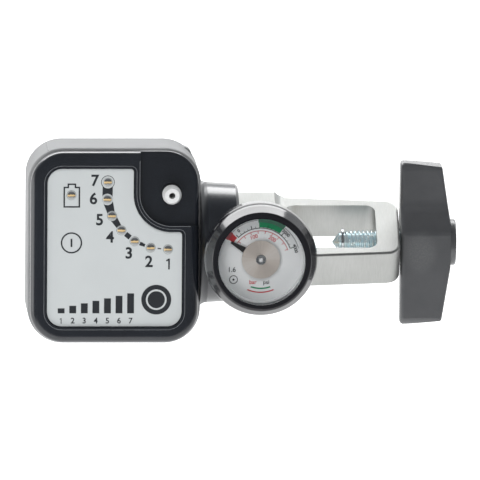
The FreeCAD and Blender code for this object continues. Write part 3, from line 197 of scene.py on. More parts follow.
class Growth(Nodes):
    """A geometry tree with named sizes, turned into a plain mesh by one call."""

    def __init__(self, name, **sizes):
        super().__init__(bpy.data.node_groups.new(name, "GeometryNodeTree"))
        self.name = name
        self.sizes = sizes
        interface = self.tree.interface
        interface.new_socket("Geometry", in_out="OUTPUT", socket_type="NodeSocketGeometry")
        self.keys = {}
        for key, value in sizes.items():
            kind = "NodeSocketInt" if isinstance(value, int) else "NodeSocketFloat"
            self.keys[key] = interface.new_socket(key, in_out="INPUT", socket_type=kind).identifier
        entry = self.tree.nodes.new("NodeGroupInput")
        self.size = {key: Wire(self, entry.outputs[key]) for key in sizes}

    def mesh(self, shape, material):
        """The mesh of that shape with the sizes as they are set."""
        real = self.node("GeometryNodeRealizeInstances", [shape])
        done = self.node("GeometryNodeSetMaterial", {"Geometry": real, "Material": material})
        self.join(self.tree.nodes.new("NodeGroupOutput").inputs[0], done)
        holder = bpy.data.objects.new(self.name, bpy.data.meshes.new(self.name))
        modifier = holder.modifiers.new(self.name, "NODES")
        modifier.node_group = self.tree
        for key, identifier in self.keys.items():
            modifier[identifier] = self.sizes[key]
        return as_mesh(holder)


class Paint(Nodes):
    """One material: its nodes, and the sockets of its surface."""

    def __init__(self, name, **fixed):
        self.material = bpy.data.materials.new(name)
        self.material.use_nodes = True
        super().__init__(self.material.node_tree)
        self.surface = self.tree.nodes["Principled BSDF"]
        self.place = self.node("ShaderNodeTexCoord", output="Object")
        self.set(**fixed)

    def set(self, **sockets):
        """Surface sockets by name, with underscores for blanks."""
        for name, value in sockets.items():
            self.join(self.surface.inputs[name.replace("_", " ")], value)

    def leaning(self):
        """Places across the leaning face, up it and out of it, in metres."""
        x, y, z = self.split(self.place)
        return x, y * UP.y + z * UP.z, y * OUT.y + z * OUT.z

    def noise(self, scale, detail=3.0, rough=0.5, stretch=(1, 1, 1)):
        """Noise on object coordinates, in marks per metre, stretched along an axis."""
        spot = self.node("ShaderNodeMapping", {"Vector": self.place, "Scale": stretch})
        sockets = {"Vector": spot, "Scale": scale, "Detail": detail, "Roughness": rough}
        return self.node("ShaderNodeTexNoise", sockets)

    def streaks(self, along, scale, detail):
        """Noise along one value only."""
        sockets = {"W": along * scale, "Scale": 1.0, "Detail": detail}
        return self.node("ShaderNodeTexNoise", sockets, noise_dimensions="1D")

    def ramp(self, value, *stops):
        """A colour ramp through (place, colour) stops."""
        return self.node("ShaderNodeValToRGB", [value], stops=stops)

    def blend(self, factor, first, second):
        """A mix of two colours."""
        return self.node("ShaderNodeMix", {0: factor, 6: first, 7: second}, 2, data_type="RGBA")

    def bump(self, height, depth):
        """Relief of that depth in metres."""
        self.set(Normal=self.node("ShaderNodeBump", {"Height": height, "Distance": depth, "Strength": 1.0}))


def grey(level, blue=0.0):
    """A neutral colour, a little cooler if asked."""
    return (level, level * (1 + blue / 2), level * (1 + blue))


# Finishes

def milled_aluminium():
    """Satin milled bar: fine upright strokes and slow clouds, and painted shade that darkens its low side."""
    paint = Paint("milled_aluminium", Metallic=1.0)
    strokes = paint.noise(300, 4, 0.6, (14, 1, 1))
    clouds = paint.noise(70, 3, 0.5)
    # Painted shade: the bar's colour gets darker towards its bottom, between these heights in metres.
    low_side, high_side = -0.016, -0.003
    painted_height_shade = paint.split(paint.place)[2].band(low_side, high_side)
    shade = 0.42 * strokes + 0.36 * clouds + 0.22 * painted_height_shade
    dark, plain, light = (0.36, 0.366, 0.35), (0.45, 0.458, 0.44), (0.56, 0.565, 0.55)
    paint.set(Base_Color=paint.ramp(shade, (0.22, dark), (0.45, plain), (0.72, light)),
              Roughness=0.34 + 0.14 * strokes)
    paint.bump(strokes, 0.00002)
    return paint.material


def turned_metal(name, colour, rough, tint=(0.9, 0.95, 1.0), metallic=1.0):
    """Turned or plated metal with a little cloudiness."""
    paint = Paint(name, Metallic=metallic)
    clouds = paint.noise(900, 3, 0.6)
    clouded = tuple(part * share for part, share in zip(colour, tint))
    paint.set(Base_Color=paint.ramp(clouds, (0.35, clouded), (0.65, colour)),
              Roughness=rough + 0.12 * clouds)
    return paint.material


def black_anodised():
    """Smooth blue-black body, turned finely round the main axis."""
    paint = Paint("black_anodised", Specular_IOR_Level=0.75, Coat_Weight=0.6, Coat_Roughness=0.16)
    rings = paint.noise(2600, 3, 0.5, (1, 0.02, 0.02))
    clouds = paint.noise(120, 3, 0.5)
    dark, light = (0.007, 0.009, 0.013), (0.013, 0.016, 0.022)
    paint.set(Base_Color=paint.ramp(clouds, (0.3, dark), (0.7, light)), Roughness=0.2 + 0.1 * rings)
    paint.bump(rings, 0.000006)
    return paint.material


def moulded(name, dark, light, rough, grain=1500, relief=0.00001, coat=0.0, coat_rough=0.1, metallic=0.0):
    """Moulded or painted surface with a fine grain and slight clouds."""
    paint = Paint(name, Coat_Weight=coat, Coat_Roughness=coat_rough, Metallic=metallic)
    fine = paint.noise(grain, 3, 0.6)
    clouds = paint.noise(60, 4, 0.55)
    paint.set(Base_Color=paint.ramp(clouds, (0.3, dark), (0.7, light)), Roughness=rough + 0.1 * fine)
    paint.bump(fine, relief)
    return paint.material


def worn_handle():
    """Black moulding, a little paler in a mottled patch beside its boss."""
    paint = Paint("worn_handle", Specular_IOR_Level=0.9, Coat_Weight=0.9, Coat_Roughness=0.22)
    fine = paint.noise(2200, 4, 0.65)
    blots = paint.noise(1900, 5, 0.7)
    clouds = paint.noise(90, 3, 0.5)
    x, y, z = paint.split(paint.place)
    turn = math.radians(28)
    # A paler mottled patch beside the boss: its centre across and along the handle, and its half width and
    # half length, in metres.
    patch_x, patch_along, patch_wide, patch_long = 0.0455, -0.002, 0.0042, 0.0055
    along = (y * math.sin(turn) + z * math.cos(turn) - patch_along) / patch_long
    across = (x - patch_x) / patch_wide
    nearness = 1 - (along * along + across * across).band(0.0, 2.4)
    pale_patch = nearness * (0.35 + 0.65 * blots.band(0.4, 0.7))
    base = paint.ramp(clouds, (0.3, (0.044, 0.046, 0.050)), (0.7, (0.060, 0.062, 0.067)))
    speckled = paint.blend(blots.band(0.55, 0.75) * 0.3, base, (0.06, 0.062, 0.065))
    paint.set(Base_Color=paint.blend(pale_patch * 0.55, speckled, (0.13, 0.133, 0.135)),
              Roughness=0.40 + 0.14 * fine)
    paint.bump(0.6 * fine + 0.4 * blots, 0.00004)
    return paint.material


def printed_film():
    """Silver film under clear coat."""
    paint = Paint("printed_panel", Coat_Weight=0.12, Coat_Roughness=0.25, Metallic=0.1)
    fine = paint.noise(3000, 2, 0.5)
    clouds = paint.noise(45, 3, 0.5)
    dark, light = (0.60, 0.63, 0.635), (0.635, 0.665, 0.67)
    paint.set(Base_Color=paint.ramp(clouds, (0.3, dark), (0.7, light)), Roughness=0.42 + 0.08 * fine)
    return paint.material


def dial_face():
    """White enamel of the dial, a little uneven."""
    paint = Paint("dial_face", Coat_Weight=0.2, Coat_Roughness=0.2)
    clouds = paint.noise(80, 3, 0.5)
    dark, light = (0.86, 0.885, 0.895), (0.92, 0.935, 0.94)
    paint.set(Base_Color=paint.ramp(clouds, (0.3, dark), (0.7, light)), Roughness=0.45 + 0.1 * clouds)
    return paint.material


def spun_nickel():
    """A spun disc: its grain runs round its centre, and a painted sheen fans out from it in its colour."""
    paint = Paint("spun_nickel", Metallic=0.3)
    across, up, _ = paint.leaning()
    across = across - GAUGE_X * MM
    radius = (across * across + up * up) ** 0.5
    turn = up.apply("ARCTAN2", across)
    ring_grain = paint.streaks(radius, 9000.0, 3.0)
    painted_fine_sheen = paint.streaks(turn, 9.0, 4.0)
    painted_broad_sheen = (turn * 2.0 + 0.6).apply("SINE")
    # Painted sheen: fans of lighter and darker colour round the centre stand in for the spun metal's
    # reflections.
    light = 0.5 + 0.2 * painted_broad_sheen + 0.3 * (painted_fine_sheen - 0.5)
    dark, plain, bright = (0.50, 0.45, 0.41), (0.68, 0.62, 0.565), (0.88, 0.85, 0.81)
    paint.set(Base_Color=paint.ramp(light, (0.15, dark), (0.55, plain), (0.9, bright)),
              Roughness=0.34 + 0.16 * ring_grain)
    paint.bump(ring_grain, 0.00001)
    return paint.material


def clear_plastic():
    """Clear window: seen through, with gloss where it turns away."""
    paint = Paint("clear_lens", Metallic=1.0, Roughness=0.03, Base_Color=(0.95, 0.96, 0.97))
    specks = paint.noise(500, 2, 0.5)
    facing = paint.node("ShaderNodeFresnel", {"IOR": 1.4})
    through = paint.node("ShaderNodeBsdfTransparent")
    gloss = Wire(paint, paint.surface.outputs[0])
    shown = paint.node("ShaderNodeMixShader", [facing * (0.9 + 0.2 * specks), through, gloss])
    paint.join(paint.tree.nodes["Material Output"].inputs["Surface"], shown)
    return paint.material


def lamp_chip():
    """A small lamp: amber die on pale ceramic."""
    paint = Paint("lamp_chip")
    _, up, _ = paint.leaning()
    stripe = (up * 3800.0).apply("SINE")
    specks = paint.noise(2500, 2, 0.5)
    amber, pale_amber, ceramic = (0.75, 0.42, 0.16), (0.86, 0.66, 0.42), (0.8, 0.78, 0.72)
    paint.set(Base_Color=paint.ramp(0.5 * stripe + specks, (0.2, amber), (0.6, pale_amber), (0.95, ceramic)),
              Roughness=0.35 + 0.1 * specks)
    return paint.material


def lamp_window():
    """A small clear lamp dome: smoky above, an amber die across it, grey below, and a painted highlight as a
    pale rim where its bevel would catch the light.
    """
    paint = Paint("lamp_window", Coat_Weight=0.4, Coat_Roughness=0.05)
    up = paint.node("ShaderNodeAttribute", output=2, attribute_name="spot_up")
    out = paint.node("ShaderNodeAttribute", output=2, attribute_name="spot_out")
    specks = paint.noise(1800, 2, 0.5)
    height = 0.5 + 0.5 * up + 0.16 * (specks - 0.5)
    inside = paint.ramp(
        height,
        (0.24, (0.34, 0.35, 0.35)), (0.37, (0.16, 0.16, 0.15)),
        (0.41, (0.62, 0.42, 0.18)), (0.56, (0.80, 0.60, 0.32)),
        (0.60, (0.05, 0.05, 0.05)), (0.84, (0.13, 0.14, 0.15)))
    # Painted highlight: the outer part of each dome is pale, where its bevelled rim would catch the light.
    paint.set(Base_Color=paint.blend(out.band(0.82, 0.90), inside, (0.50, 0.52, 0.52)),
              Roughness=0.3 + 0.1 * specks)
    return paint.material


# Half height of the collar's black front, how far out it starts, and how soft its edge is, in metres
NECK_FRONT = 0.0205
NECK_BACK = -0.0061
NECK_EDGE = 0.00005


def neck_two_tone():
    """The case's neck: satin silver on its shoulders, black where the collar wraps its front."""
    paint = Paint("neck_two_tone", Specular_IOR_Level=0.7)
    _, up, out = paint.leaning()
    fine = paint.noise(2600, 3, 0.6)
    inside = 1 - up.apply("ABSOLUTE").band(NECK_FRONT - NECK_EDGE, NECK_FRONT + NECK_EDGE)
    front = inside * out.band(NECK_BACK - 2 * NECK_EDGE, NECK_BACK + 2 * NECK_EDGE)
    silver, black = (0.36, 0.365, 0.37), (0.010, 0.012, 0.016)
    paint.set(Base_Color=paint.blend(front, silver, black), Roughness=0.26 + 0.1 * fine)
    return paint.material


def ink(name, colour):
    """Matt flat colour of one kind, a little patchy: print, and also the painted highlights on the bezel and
    the painted shade on the dial.
    """
    paint = Paint(name)
    fine = paint.noise(2400, 2, 0.5)
    darker = tuple(part * 0.85 for part in colour)
    paint.set(Base_Color=paint.ramp(fine, (0.3, darker), (0.7, colour)), Roughness=0.42 + 0.1 * fine)
    return paint.material


finishes = {
    "satin_aluminium": milled_aluminium(),
    "brass": turned_metal("turned_brass", (0.72, 0.56, 0.30), 0.25, grey(0.85)),
    "bronze": turned_metal("filter_bronze", (0.55, 0.36, 0.22), 0.4, grey(0.85)),
    "steel": turned_metal("bright_steel", (0.62, 0.63, 0.64), 0.22),
    "zinc_steel": turned_metal("zinc_plate", (0.92, 0.96, 0.95), 0.2, (0.70, 0.90, 1.0), metallic=0.6),
    "barb_nickel": turned_metal("barb_nickel", (0.88, 0.89, 0.88), 0.24, (0.93, 0.93, 0.95), metallic=0.08),
    "hub_nickel": spun_nickel(),
    "black_anodised": black_anodised(),
    "handle_plastic": worn_handle(),
    "washer_nylon": moulded("washer_nylon", (0.75, 0.73, 0.66), (0.82, 0.8, 0.74), 0.45),
    "case_silver": moulded("case_silver", grey(0.28, 0.03), grey(0.31, 0.03), 0.46, grain=2600,
                           relief=0.000012, coat_rough=0.2, metallic=0.15),
    "cover_grey": moulded("cover_grey", grey(0.16, 0.03), grey(0.19, 0.03), 0.42, grain=2200, relief=0.00002),
    "bezel_black": moulded("bezel_black", (0.009, 0.011, 0.015), (0.013, 0.016, 0.022), 0.2, grain=1800,
                           relief=0.000004, coat=0.9, coat_rough=0.07),
    "gauge_black": moulded("gauge_black", (0.006, 0.006, 0.008), (0.010, 0.010, 0.013), 0.12, grain=1200,
                           relief=0.000003, coat=0.4, coat_rough=0.04),
    "pointer_black": moulded("pointer_black", grey(0.008, 0.1), grey(0.014, 0.1), 0.4),
    "black_rubber": moulded("black_rubber", grey(0.012), grey(0.02), 0.55),
    "board_green": moulded("board_green", (0.02, 0.12, 0.05), (0.03, 0.17, 0.08), 0.35),
    "cell_wrap": moulded("cell_wrap", grey(0.10), grey(0.14), 0.3),
    "clear_lens": clear_plastic(),
    "dial_white": dial_face(),
    "panel_silver": printed_film(),
    "lamp_chip": lamp_chip(),
}
own_finishes = {"neck_flange": neck_two_tone()}
inks = {
    "dark": ink("ink_dark", (0.022, 0.025, 0.030)),
    "pale": ink("ink_pale", (0.60, 0.63, 0.635)),
    # Painted highlight: the pale lines along the bezel's edges.
    "edge": ink("ink_edge", (0.21, 0.22, 0.23)),
    "red": ink("ink_red", (0.62, 0.035, 0.045)),
    # Painted shade: darker copies of the red and green inks for the outer parts of the dial's bands, seen
    # darker through the lens's bevel.
    "lens_shaded_red": ink("ink_dull_red", (0.42, 0.10, 0.11)),
    "green": ink("ink_green", (0.0, 0.32, 0.12)),
    "lens_shaded_green": ink("ink_dull_green", (0.06, 0.20, 0.13)),
}

slots = {part["node"]: part["material_slot"] for part in record["subparts"]}
for name, node in frame["nodes"].items():
    node.data.materials.clear()
    node.data.materials.append(own_finishes.get(name, finishes[slots[name]]))


# Pieces

def add_piece(name, bm, material, body, smooth=0):
    """A mesh object that rides on a body, smooth where its faces turn by less than that many degrees."""
    bmesh.ops.recalc_face_normals(bm, faces=bm.faces)
    mesh = bpy.data.meshes.new(name)
    bm.to_mesh(mesh)
    bm.free()
    for face in mesh.polygons:
        face.use_smooth = smooth > 0
    if 0 < smooth < 180:
        mesh.set_sharp_from_angle(angle=math.radians(smooth))
    mesh.materials.append(material)
    piece = bpy.data.objects.new(name, mesh)
    bpy.context.scene.collection.objects.link(piece)
    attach(piece, body)
    return piece


def pour(bm, mesh):
    """Add a mesh to a bmesh. The mesh is removed."""
    bm.from_mesh(mesh)
    bpy.data.meshes.remove(mesh)


def skin(bm, first, second):
    """Faces between two closed rows of as many vertices."""
    for k in range(len(first)):
        after = (k + 1) % len(first)
        bm.faces.new((first[k], first[after], second[after], second[k]))


def close_rows(bm, rows):
    """Skin between rows of as many vertices, closed at both ends."""
    for first, second in zip(rows, rows[1:]):
        skin(bm, first, second)
    bm.faces.new(rows[0][::-1])
    bm.faces.new(rows[-1])


def circle(radius, count=48, x=0.0, y=0.0):
    """Points round a centre."""
    return [(x + radius * math.cos(2 * math.pi * i / count), y + radius * math.sin(2 * math.pi * i / count))
            for i in range(count)]


def box(left, low, right, high):
    """Corners of an upright oblong."""
    return [(left, low), (right, low), (right, high), (left, high)]


def turned(bm, profile, centre, across, up, axis, around=40):
    """A closed turned skin: (station, radius) pairs along an axis, in millimetres."""
    thinnest = 0.02
    rows = []
    for station, radius in profile:
        rows.append([bm.verts.new((centre + axis * station + across * x + up * y) * MM)
                     for x, y in circle(max(radius, thinnest), around)])
    close_rows(bm, rows)


# Print

class Print:
    """Thin ink on a leaning face: closed slabs a few hundredths of a millimetre high."""

    def __init__(self, base, centre=(0.0, 0.0)):
        self.bm = bmesh.new()
        self.base = base
        self.centre = Vector((*centre, 0))

    def _row(self, points, height):
        return [self.bm.verts.new(LEANING @ (self.centre + Vector((x, y, self.base + height))))
                for x, y in points]

    def field(self, points):
        """A filled outline."""
        low, high = self._row(points, 0), self._row(points, INK)
        close_rows(self.bm, [low, high])

    def ring(self, inner, outer):
        """The field between two closed outlines with as many points."""
        low_in, high_in, low_out, high_out = [
            self._row(points, height) for points in (inner, outer) for height in (0, INK)]
        rows = [low_in, high_in, high_out, low_out]
        for first, second in zip(rows, rows[1:] + rows[:1]):
            skin(self.bm, first, second)

    def sector(self, inner, outer, start, stop):
        """Part of a round band, between two angles in degrees."""
        widest = 3.0
        count = max(2, int(abs(stop - start) / widest) + 1)
        angles = [math.radians(start + (stop - start) * i / (count - 1)) for i in range(count)]
        there = [(outer * math.cos(a), outer * math.sin(a)) for a in angles]
        back = [(inner * math.cos(a), inner * math.sin(a)) for a in angles[::-1]]
        self.field(there + back)

    def text(self, words, size, x, y, turn=0.0, bold=0.0):
        """Plain type, centred on a place."""
        curve = bpy.data.curves.new("type", "FONT")
        curve.body = words
        curve.size = size
        curve.align_x = "CENTER"
        curve.align_y = "CENTER"
        curve.extrude = INK / 2
        curve.offset = bold
        curve.resolution_u = 6
        mesh = as_mesh(bpy.data.objects.new("type", curve))
        place = Matrix.Translation(self.centre + Vector((x, y, self.base + INK / 2)))
        mesh.transform(LEANING @ place @ Matrix.Rotation(math.radians(turn), 4, "Z"))
        pour(self.bm, mesh)

    def round_text(self, words, size, radius, angle, bold):
        """Plain type at an angle on a circle, its foot towards the centre."""
        a = math.radians(angle)
        self.text(words, size, radius * math.cos(a), radius * math.sin(a), angle - 90, bold)

    def ticks(self, name, count, start, step, inner, outer, width):
        """A row of ticks round the centre."""
        mesh = tick_marks(name, count, start, step, inner, outer, width)
        mesh.transform(LEANING @ Matrix.Translation(self.centre + Vector((0, 0, self.base + INK / 2))))
        pour(self.bm, mesh)

    def finish(self, name, colour):
        """The piece that the print makes, its seams merged."""
        bmesh.ops.remove_doubles(self.bm, verts=self.bm.verts, dist=SEAM)
        add_piece(name, self.bm, inks[colour], "frame")


def tick_marks(name, count, start, step, inner, outer, width):
    """A row of ticks round the dial's centre, as a mesh in millimetres on its face."""
    tree = Growth(name, Count=count, Start=start, Step=step, Inner=inner, Outer=outer, Width=width)
    size = tree.size
    spots = tree.node("GeometryNodePoints", {"Count": size["Count"]})
    angle = (tree.node("GeometryNodeInputIndex") * size["Step"] + size["Start"]) * (math.pi / 180)
    radius = (size["Inner"] + size["Outer"]) * 0.5
    across, up = radius * angle.apply("COSINE"), radius * angle.apply("SINE")
    place = tree.node("ShaderNodeCombineXYZ", [across, up, 0])
    spread = tree.node("GeometryNodeSetPosition", {"Geometry": spots, "Position": place})
    slab = tree.node("ShaderNodeCombineXYZ", [size["Outer"] - size["Inner"], size["Width"], INK])
    tick = tree.node("GeometryNodeMeshCube", {"Size": slab})
    facing = tree.node("ShaderNodeCombineXYZ", [0, 0, angle])
    sockets = {"Points": spread, "Instance": tick, "Rotation": facing}
    return tree.mesh(tree.node("GeometryNodeInstanceOnPoints", sockets), inks["dark"])


# The seven setting lamps lie on an arc, from 1 at the lower right to 7 at the top
LAMP_CENTRE = BARB + Vector((-2.4, 0.7))
LAMP_ARC = 19.45
LAMP_FIRST, LAMP_STEP = -3.65, 17.3
LAMPS = range(1, 8)
POWER_LAMP = BARB + Vector((-33.8, -0.3))
LAMP_RADIUS = 1.55
LAMP_RIM = 1.75
DOME = [(1.0, -0.5), (1.0, 0.1), (0.88, 0.2), (0.72, 0.3), (0.5, 0.38), (0.25, 0.42), (0.02, 0.43)]


def lamp_place(index):
    """Centre of a setting lamp."""
    angle = math.radians(LAMP_FIRST + LAMP_STEP * (index - 1))
    return LAMP_CENTRE - LAMP_ARC * Vector((math.sin(angle), math.cos(angle)))


def make_lamps():
    """The clear lamp domes, each vertex keeping how far up and out it lies on its own lamp."""
    bm = bmesh.new()
    spot_up = bm.verts.layers.float.new("spot_up")
    spot_out = bm.verts.layers.float.new("spot_out")
    for place in [lamp_place(index) for index in LAMPS] + [POWER_LAMP]:
        rows = []
        for share, height in DOME:
            row = []
            for x, y in circle(share * LAMP_RADIUS, 32):
                vert = bm.verts.new(LEANING @ Vector((place.x + x, place.y + y, PANEL_TOP + height)))
                vert[spot_up] = y / LAMP_RADIUS
                vert[spot_out] = share
                row.append(vert)
            rows.append(row)
        close_rows(bm, rows)
    domes = add_piece("lamp_domes", bm, lamp_window(), "frame", 50)
    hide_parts("led_windows")


# Numbers beside the lamps. The drawn 1 stands in for the font's, which is a bare bar.
NUMBERS = {7: (-65.13, 23.26), 6: (-65.59, 17.08), 5: (-63.46, 9.9), 4: (-59.89, 3.99),
           3: (-53.52, -1.45), 2: (-46.75, -4.35), 1: (-40.01, -5.0)}
ONE = [(-0.25, -1.85), (0.3, -1.85), (0.3, 1.85), (-0.15, 1.85), (-1.0, 1.3), (-0.8, 0.85), (-0.25, 1.15)]

# Track between the lamps: dashes by lamp, first and last share of the way and half width,
# and higher up whole bars by lamp and their half widths at both ends
DASHES = [(1, 0.40, 0.60, 0.2), (2, 0.36, 0.52, 0.5), (2, 0.52, 0.68, 0.62), (3, 0.34, 0.68, 0.85)]
TRACK = {4: (0.9, 1.2), 5: (1.25, 1.7), 6: (1.8, 2.0)}

# Marks: centres and sizes
BATTERY = (-72.88, 18.3)
ROUND_MARK = (-72.9, 2.2)
DISC = (-44.2, -17.15)
BARS_LEFT, BARS_LOW, BAR_STEP, BAR_WIDE = -77.4, -21.8, 3.9, 2.3
BAR_FIRST, BAR_RISE = 1.7, 0.85
BAR_NUMBERS = -24.4


def print_number(dark, number, x, y, size, bold, share=1.0):
    """A number, or the drawn 1 at a share of its size."""
    if number == 1:
        dark.field([(x + share * a, y + share * b) for a, b in ONE])
    else:
        dark.text(str(number), size, x, y, bold=bold)


def lamp_side(lamp, toward, half):
    """Points on a lamp's rim, from one side of the track to the other."""
    way = math.atan2(toward.y, toward.x)
    spread = math.asin(min(0.98, half / LAMP_RIM))
    return [(lamp.x + LAMP_RIM * math.cos(way + spread * t), lamp.y + LAMP_RIM * math.sin(way + spread * t))
            for t in (-1, -0.5, 0, 0.5, 1)]


def print_track(dark):
    """The dashes and bars between the lamps."""
    for index, start, stop, half in DASHES:
        here, after = lamp_place(index), lamp_place(index + 1)
        side = Vector((here.y - after.y, after.x - here.x)).normalized() * half
        first, last = here.lerp(after, start), here.lerp(after, stop)
        dark.field([first + side, last + side, last - side, first - side])
    for index, (low, high) in TRACK.items():
        here, after = lamp_place(index), lamp_place(index + 1)
        dark.field(lamp_side(here, after - here, low) + lamp_side(after, here - after, high))


def battery_outline(inset):
    """Outline of the battery mark with its cap."""
    half, foot, shoulder, top, cap = 2.8 - inset, 4.1 - inset, 3.0 - inset, 4.1 - inset, 1.45 - inset
    shape = [(-half, -foot), (half, -foot), (half, shoulder), (cap, shoulder),
             (cap, top), (-cap, top), (-cap, shoulder), (-half, shoulder)]
    return [(BATTERY[0] + x, BATTERY[1] + y) for x, y in shape]


def print_panel():
    """Numbers, track, battery, circle, disc with a ring and seven rising bars."""
    dark = Print(PANEL_TOP)
    for number, (x, y) in NUMBERS.items():
        print_number(dark, number, x, y, 5.3, 0.13)
    print_track(dark)
    dark.ring(circle(2.1, 48, *lamp_place(7)), circle(2.3, 48, *lamp_place(7)))
    dark.ring(battery_outline(0.5), battery_outline(0))
    dark.ring(circle(3.1, 64, *ROUND_MARK), circle(3.6, 64, *ROUND_MARK))
    dark.field(box(ROUND_MARK[0] - 0.3, ROUND_MARK[1] - 1.4, ROUND_MARK[0] + 0.3, ROUND_MARK[1] + 1.4))
    dark.field(circle(5.05, 72, *DISC))
    for step in range(7):
        left, high = BARS_LEFT + BAR_STEP * step, BARS_LOW + BAR_FIRST + BAR_RISE * step
        dark.field(box(left, BARS_LOW, left + BAR_WIDE, high))
        print_number(dark, step + 1, left + BAR_WIDE / 2, BAR_NUMBERS, 2.7, 0.05, 0.5)
    dark.finish("panel_print", "dark")
    pale = Print(PANEL_TOP + INK)
    pale.ring(circle(2.9, 64, *DISC), circle(3.5, 64, *DISC))
    for index, rim in ((6, 1.95), (7, 2.1)):
        pale.ring(circle(1.6, 48, *lamp_place(index)), circle(rim, 48, *lamp_place(index)))
    pale.finish("panel_mark", "pale")


# Painted highlights: thin pale lines where the moulded edges round the panel and beside the pocket would
# catch the light
PANEL_CORNER, PANEL_NIP, PANEL_CUT = 5.0, 1.0, 12.85
POCKET_RADIUS = 10.6
LIP_GAP, LIP_WIDE = 1.0, 0.13
STEP_GAP, STEP_WIDE = 0.12, 0.15
STEP_END = 2.8


def rounded(corners, steps=10):
    """A closed outline through square corners, each with its own radius."""
    points = []
    for index, (x, y, radius) in enumerate(corners):
        here = Vector((x, y))
        before = (Vector(corners[index - 1][:2]) - here).normalized()
        after = (Vector(corners[(index + 1) % len(corners)][:2]) - here).normalized()
        centre = here + (before + after) * radius
        for i in range(steps + 1):
            a = math.pi / 2 * i / steps
            points.append(centre - radius * (math.cos(a) * after + math.sin(a) * before))
    return points


def panel_lip(gap):
    """The panel's outline, that far outside it."""
    cut = PANEL_CUT - gap
    corner, nip = PANEL_CORNER + gap, PANEL_NIP + gap
    left, low, right, high = PANEL_LEFT - gap, PANEL_LOW - gap, PANEL_RIGHT + gap, PANEL_HIGH + gap
    return rounded([(left, low, corner), (right, low, corner), (right, BARB.y - cut, nip),
                    (BARB.x - cut, BARB.y - cut, cut), (BARB.x - cut, high, nip), (left, high, corner)])


def pocket_step(gap):
    """A line down beside the pocket, round its corner and on to the right, that far outside it."""
    radius = POCKET_RADIUS + gap
    arc = [math.radians(180 + 5 * i) for i in range(19)]
    return ([(BARB.x - radius, PANEL_HIGH + STEP_END)]
            + [(BARB.x + radius * math.cos(a), BARB.y + radius * math.sin(a)) for a in arc]
            + [(PANEL_RIGHT + STEP_END, BARB.y - radius)])


def print_edges():
    """The two pale lines on the bezel: painted highlights along its moulded edges."""
    lines = Print(BEZEL_TOP)
    lines.ring(panel_lip(LIP_GAP), panel_lip(LIP_GAP + LIP_WIDE))
    lines.field(pocket_step(STEP_GAP) + pocket_step(STEP_GAP + STEP_WIDE)[::-1])
    lines.finish("bezel_edge_highlights", "edge")


def print_dial():
    """Scales, numbers, units and marks of the dial, one piece for each ink, and darker painted shade on the
    outer parts of the red and green bands.
    """
    centre = (GAUGE_X, 0.0)
    round_mark = (-9.1, -7.0)
    black = Print(DIAL_TOP, centre)
    black.sector(10.35, 10.6, 20, 137)
    black.sector(13.1, 13.25, 16, 52)
    black.sector(13.1, 13.25, 95, 136)
    black.ticks("long_ticks", 5, 20.0, 28.9, 10.6, 11.6, 0.28)
    black.ticks("short_ticks", 17, 20.0, 7.225, 10.6, 11.1, 0.16)
    for angle, number in ((17, "4000"), (46, "3000"), (128, "0")):
        black.round_text(number, 1.55, 12.1, angle, 0.04)
    black.text("psi", 1.9, 1.9, -7.9, bold=0.03)
    black.text("1.6", 2.3, -9.7, -3.7, bold=0.03)
    black.ring(circle(1.2, 40, *round_mark), circle(1.45, 40, *round_mark))
    black.field(circle(0.35, 16, *round_mark))
    black.finish("dial_black", "dark")
    red = Print(DIAL_TOP, centre)
    red.sector(9.45, 9.65, 18, 146)
    red.sector(10.7, 12.7, 138, 149)
    red.sector(11.1, 11.5, 247, 293)
    red.ticks("red_ticks", 9, 20.0, 15.2, 8.6, 9.45, 0.2)
    for angle, number in ((107.6, "100"), (60.4, "200")):
        red.round_text(number, 1.8, 7.8, angle, 0.03)
    red.text("bar", 1.9, -2.6, -7.9, bold=0.03)
    red.finish("dial_red", "red")
    # Painted shade: the outer part of the red band, darker where it is seen through the lens's bevel.
    lens_shaded_red = Print(DIAL_TOP, centre)
    lens_shaded_red.sector(12.7, 14.4, 137, 150)
    lens_shaded_red.finish("dial_shaded_red", "lens_shaded_red")
    green = Print(DIAL_TOP, centre)
    green.sector(10.7, 12.4, 54, 93)
    green.sector(9.75, 10.2, 251, 289)
    green.finish("dial_green", "green")
    # Painted shade: the outer part of the green band, darker where it is seen through the lens's bevel.
    lens_shaded_green = Print(DIAL_TOP, centre)
    lens_shaded_green.sector(12.4, 14.4, 53, 94)
    lens_shaded_green.finish("dial_shaded_green", "lens_shaded_green")


# Section of the pale wall between the dial and the lens
WALL_PROFILE = [(0.02, 14.2), (0.5, 14.25), (1.6, 14.6), (1.6, 14.85), (0.02, 14.85)]


def make_dial_wall():
    """The pale wall: a ring whose last row is joined to its first."""
    bm = bmesh.new()
    centre = GAUGE_AXIS + DIAL_TOP * OUT
    rows = []
    for station, radius in WALL_PROFILE:
        rows.append([bm.verts.new((centre + OUT * station + UP * y + ALONG * x) * MM)
                     for x, y in circle(radius, 96)])
    for first, second in zip(rows, rows[1:] + rows[:1]):
        skin(bm, first, second)
    add_piece("dial_wall", bm, finishes["dial_white"], "frame", 40)


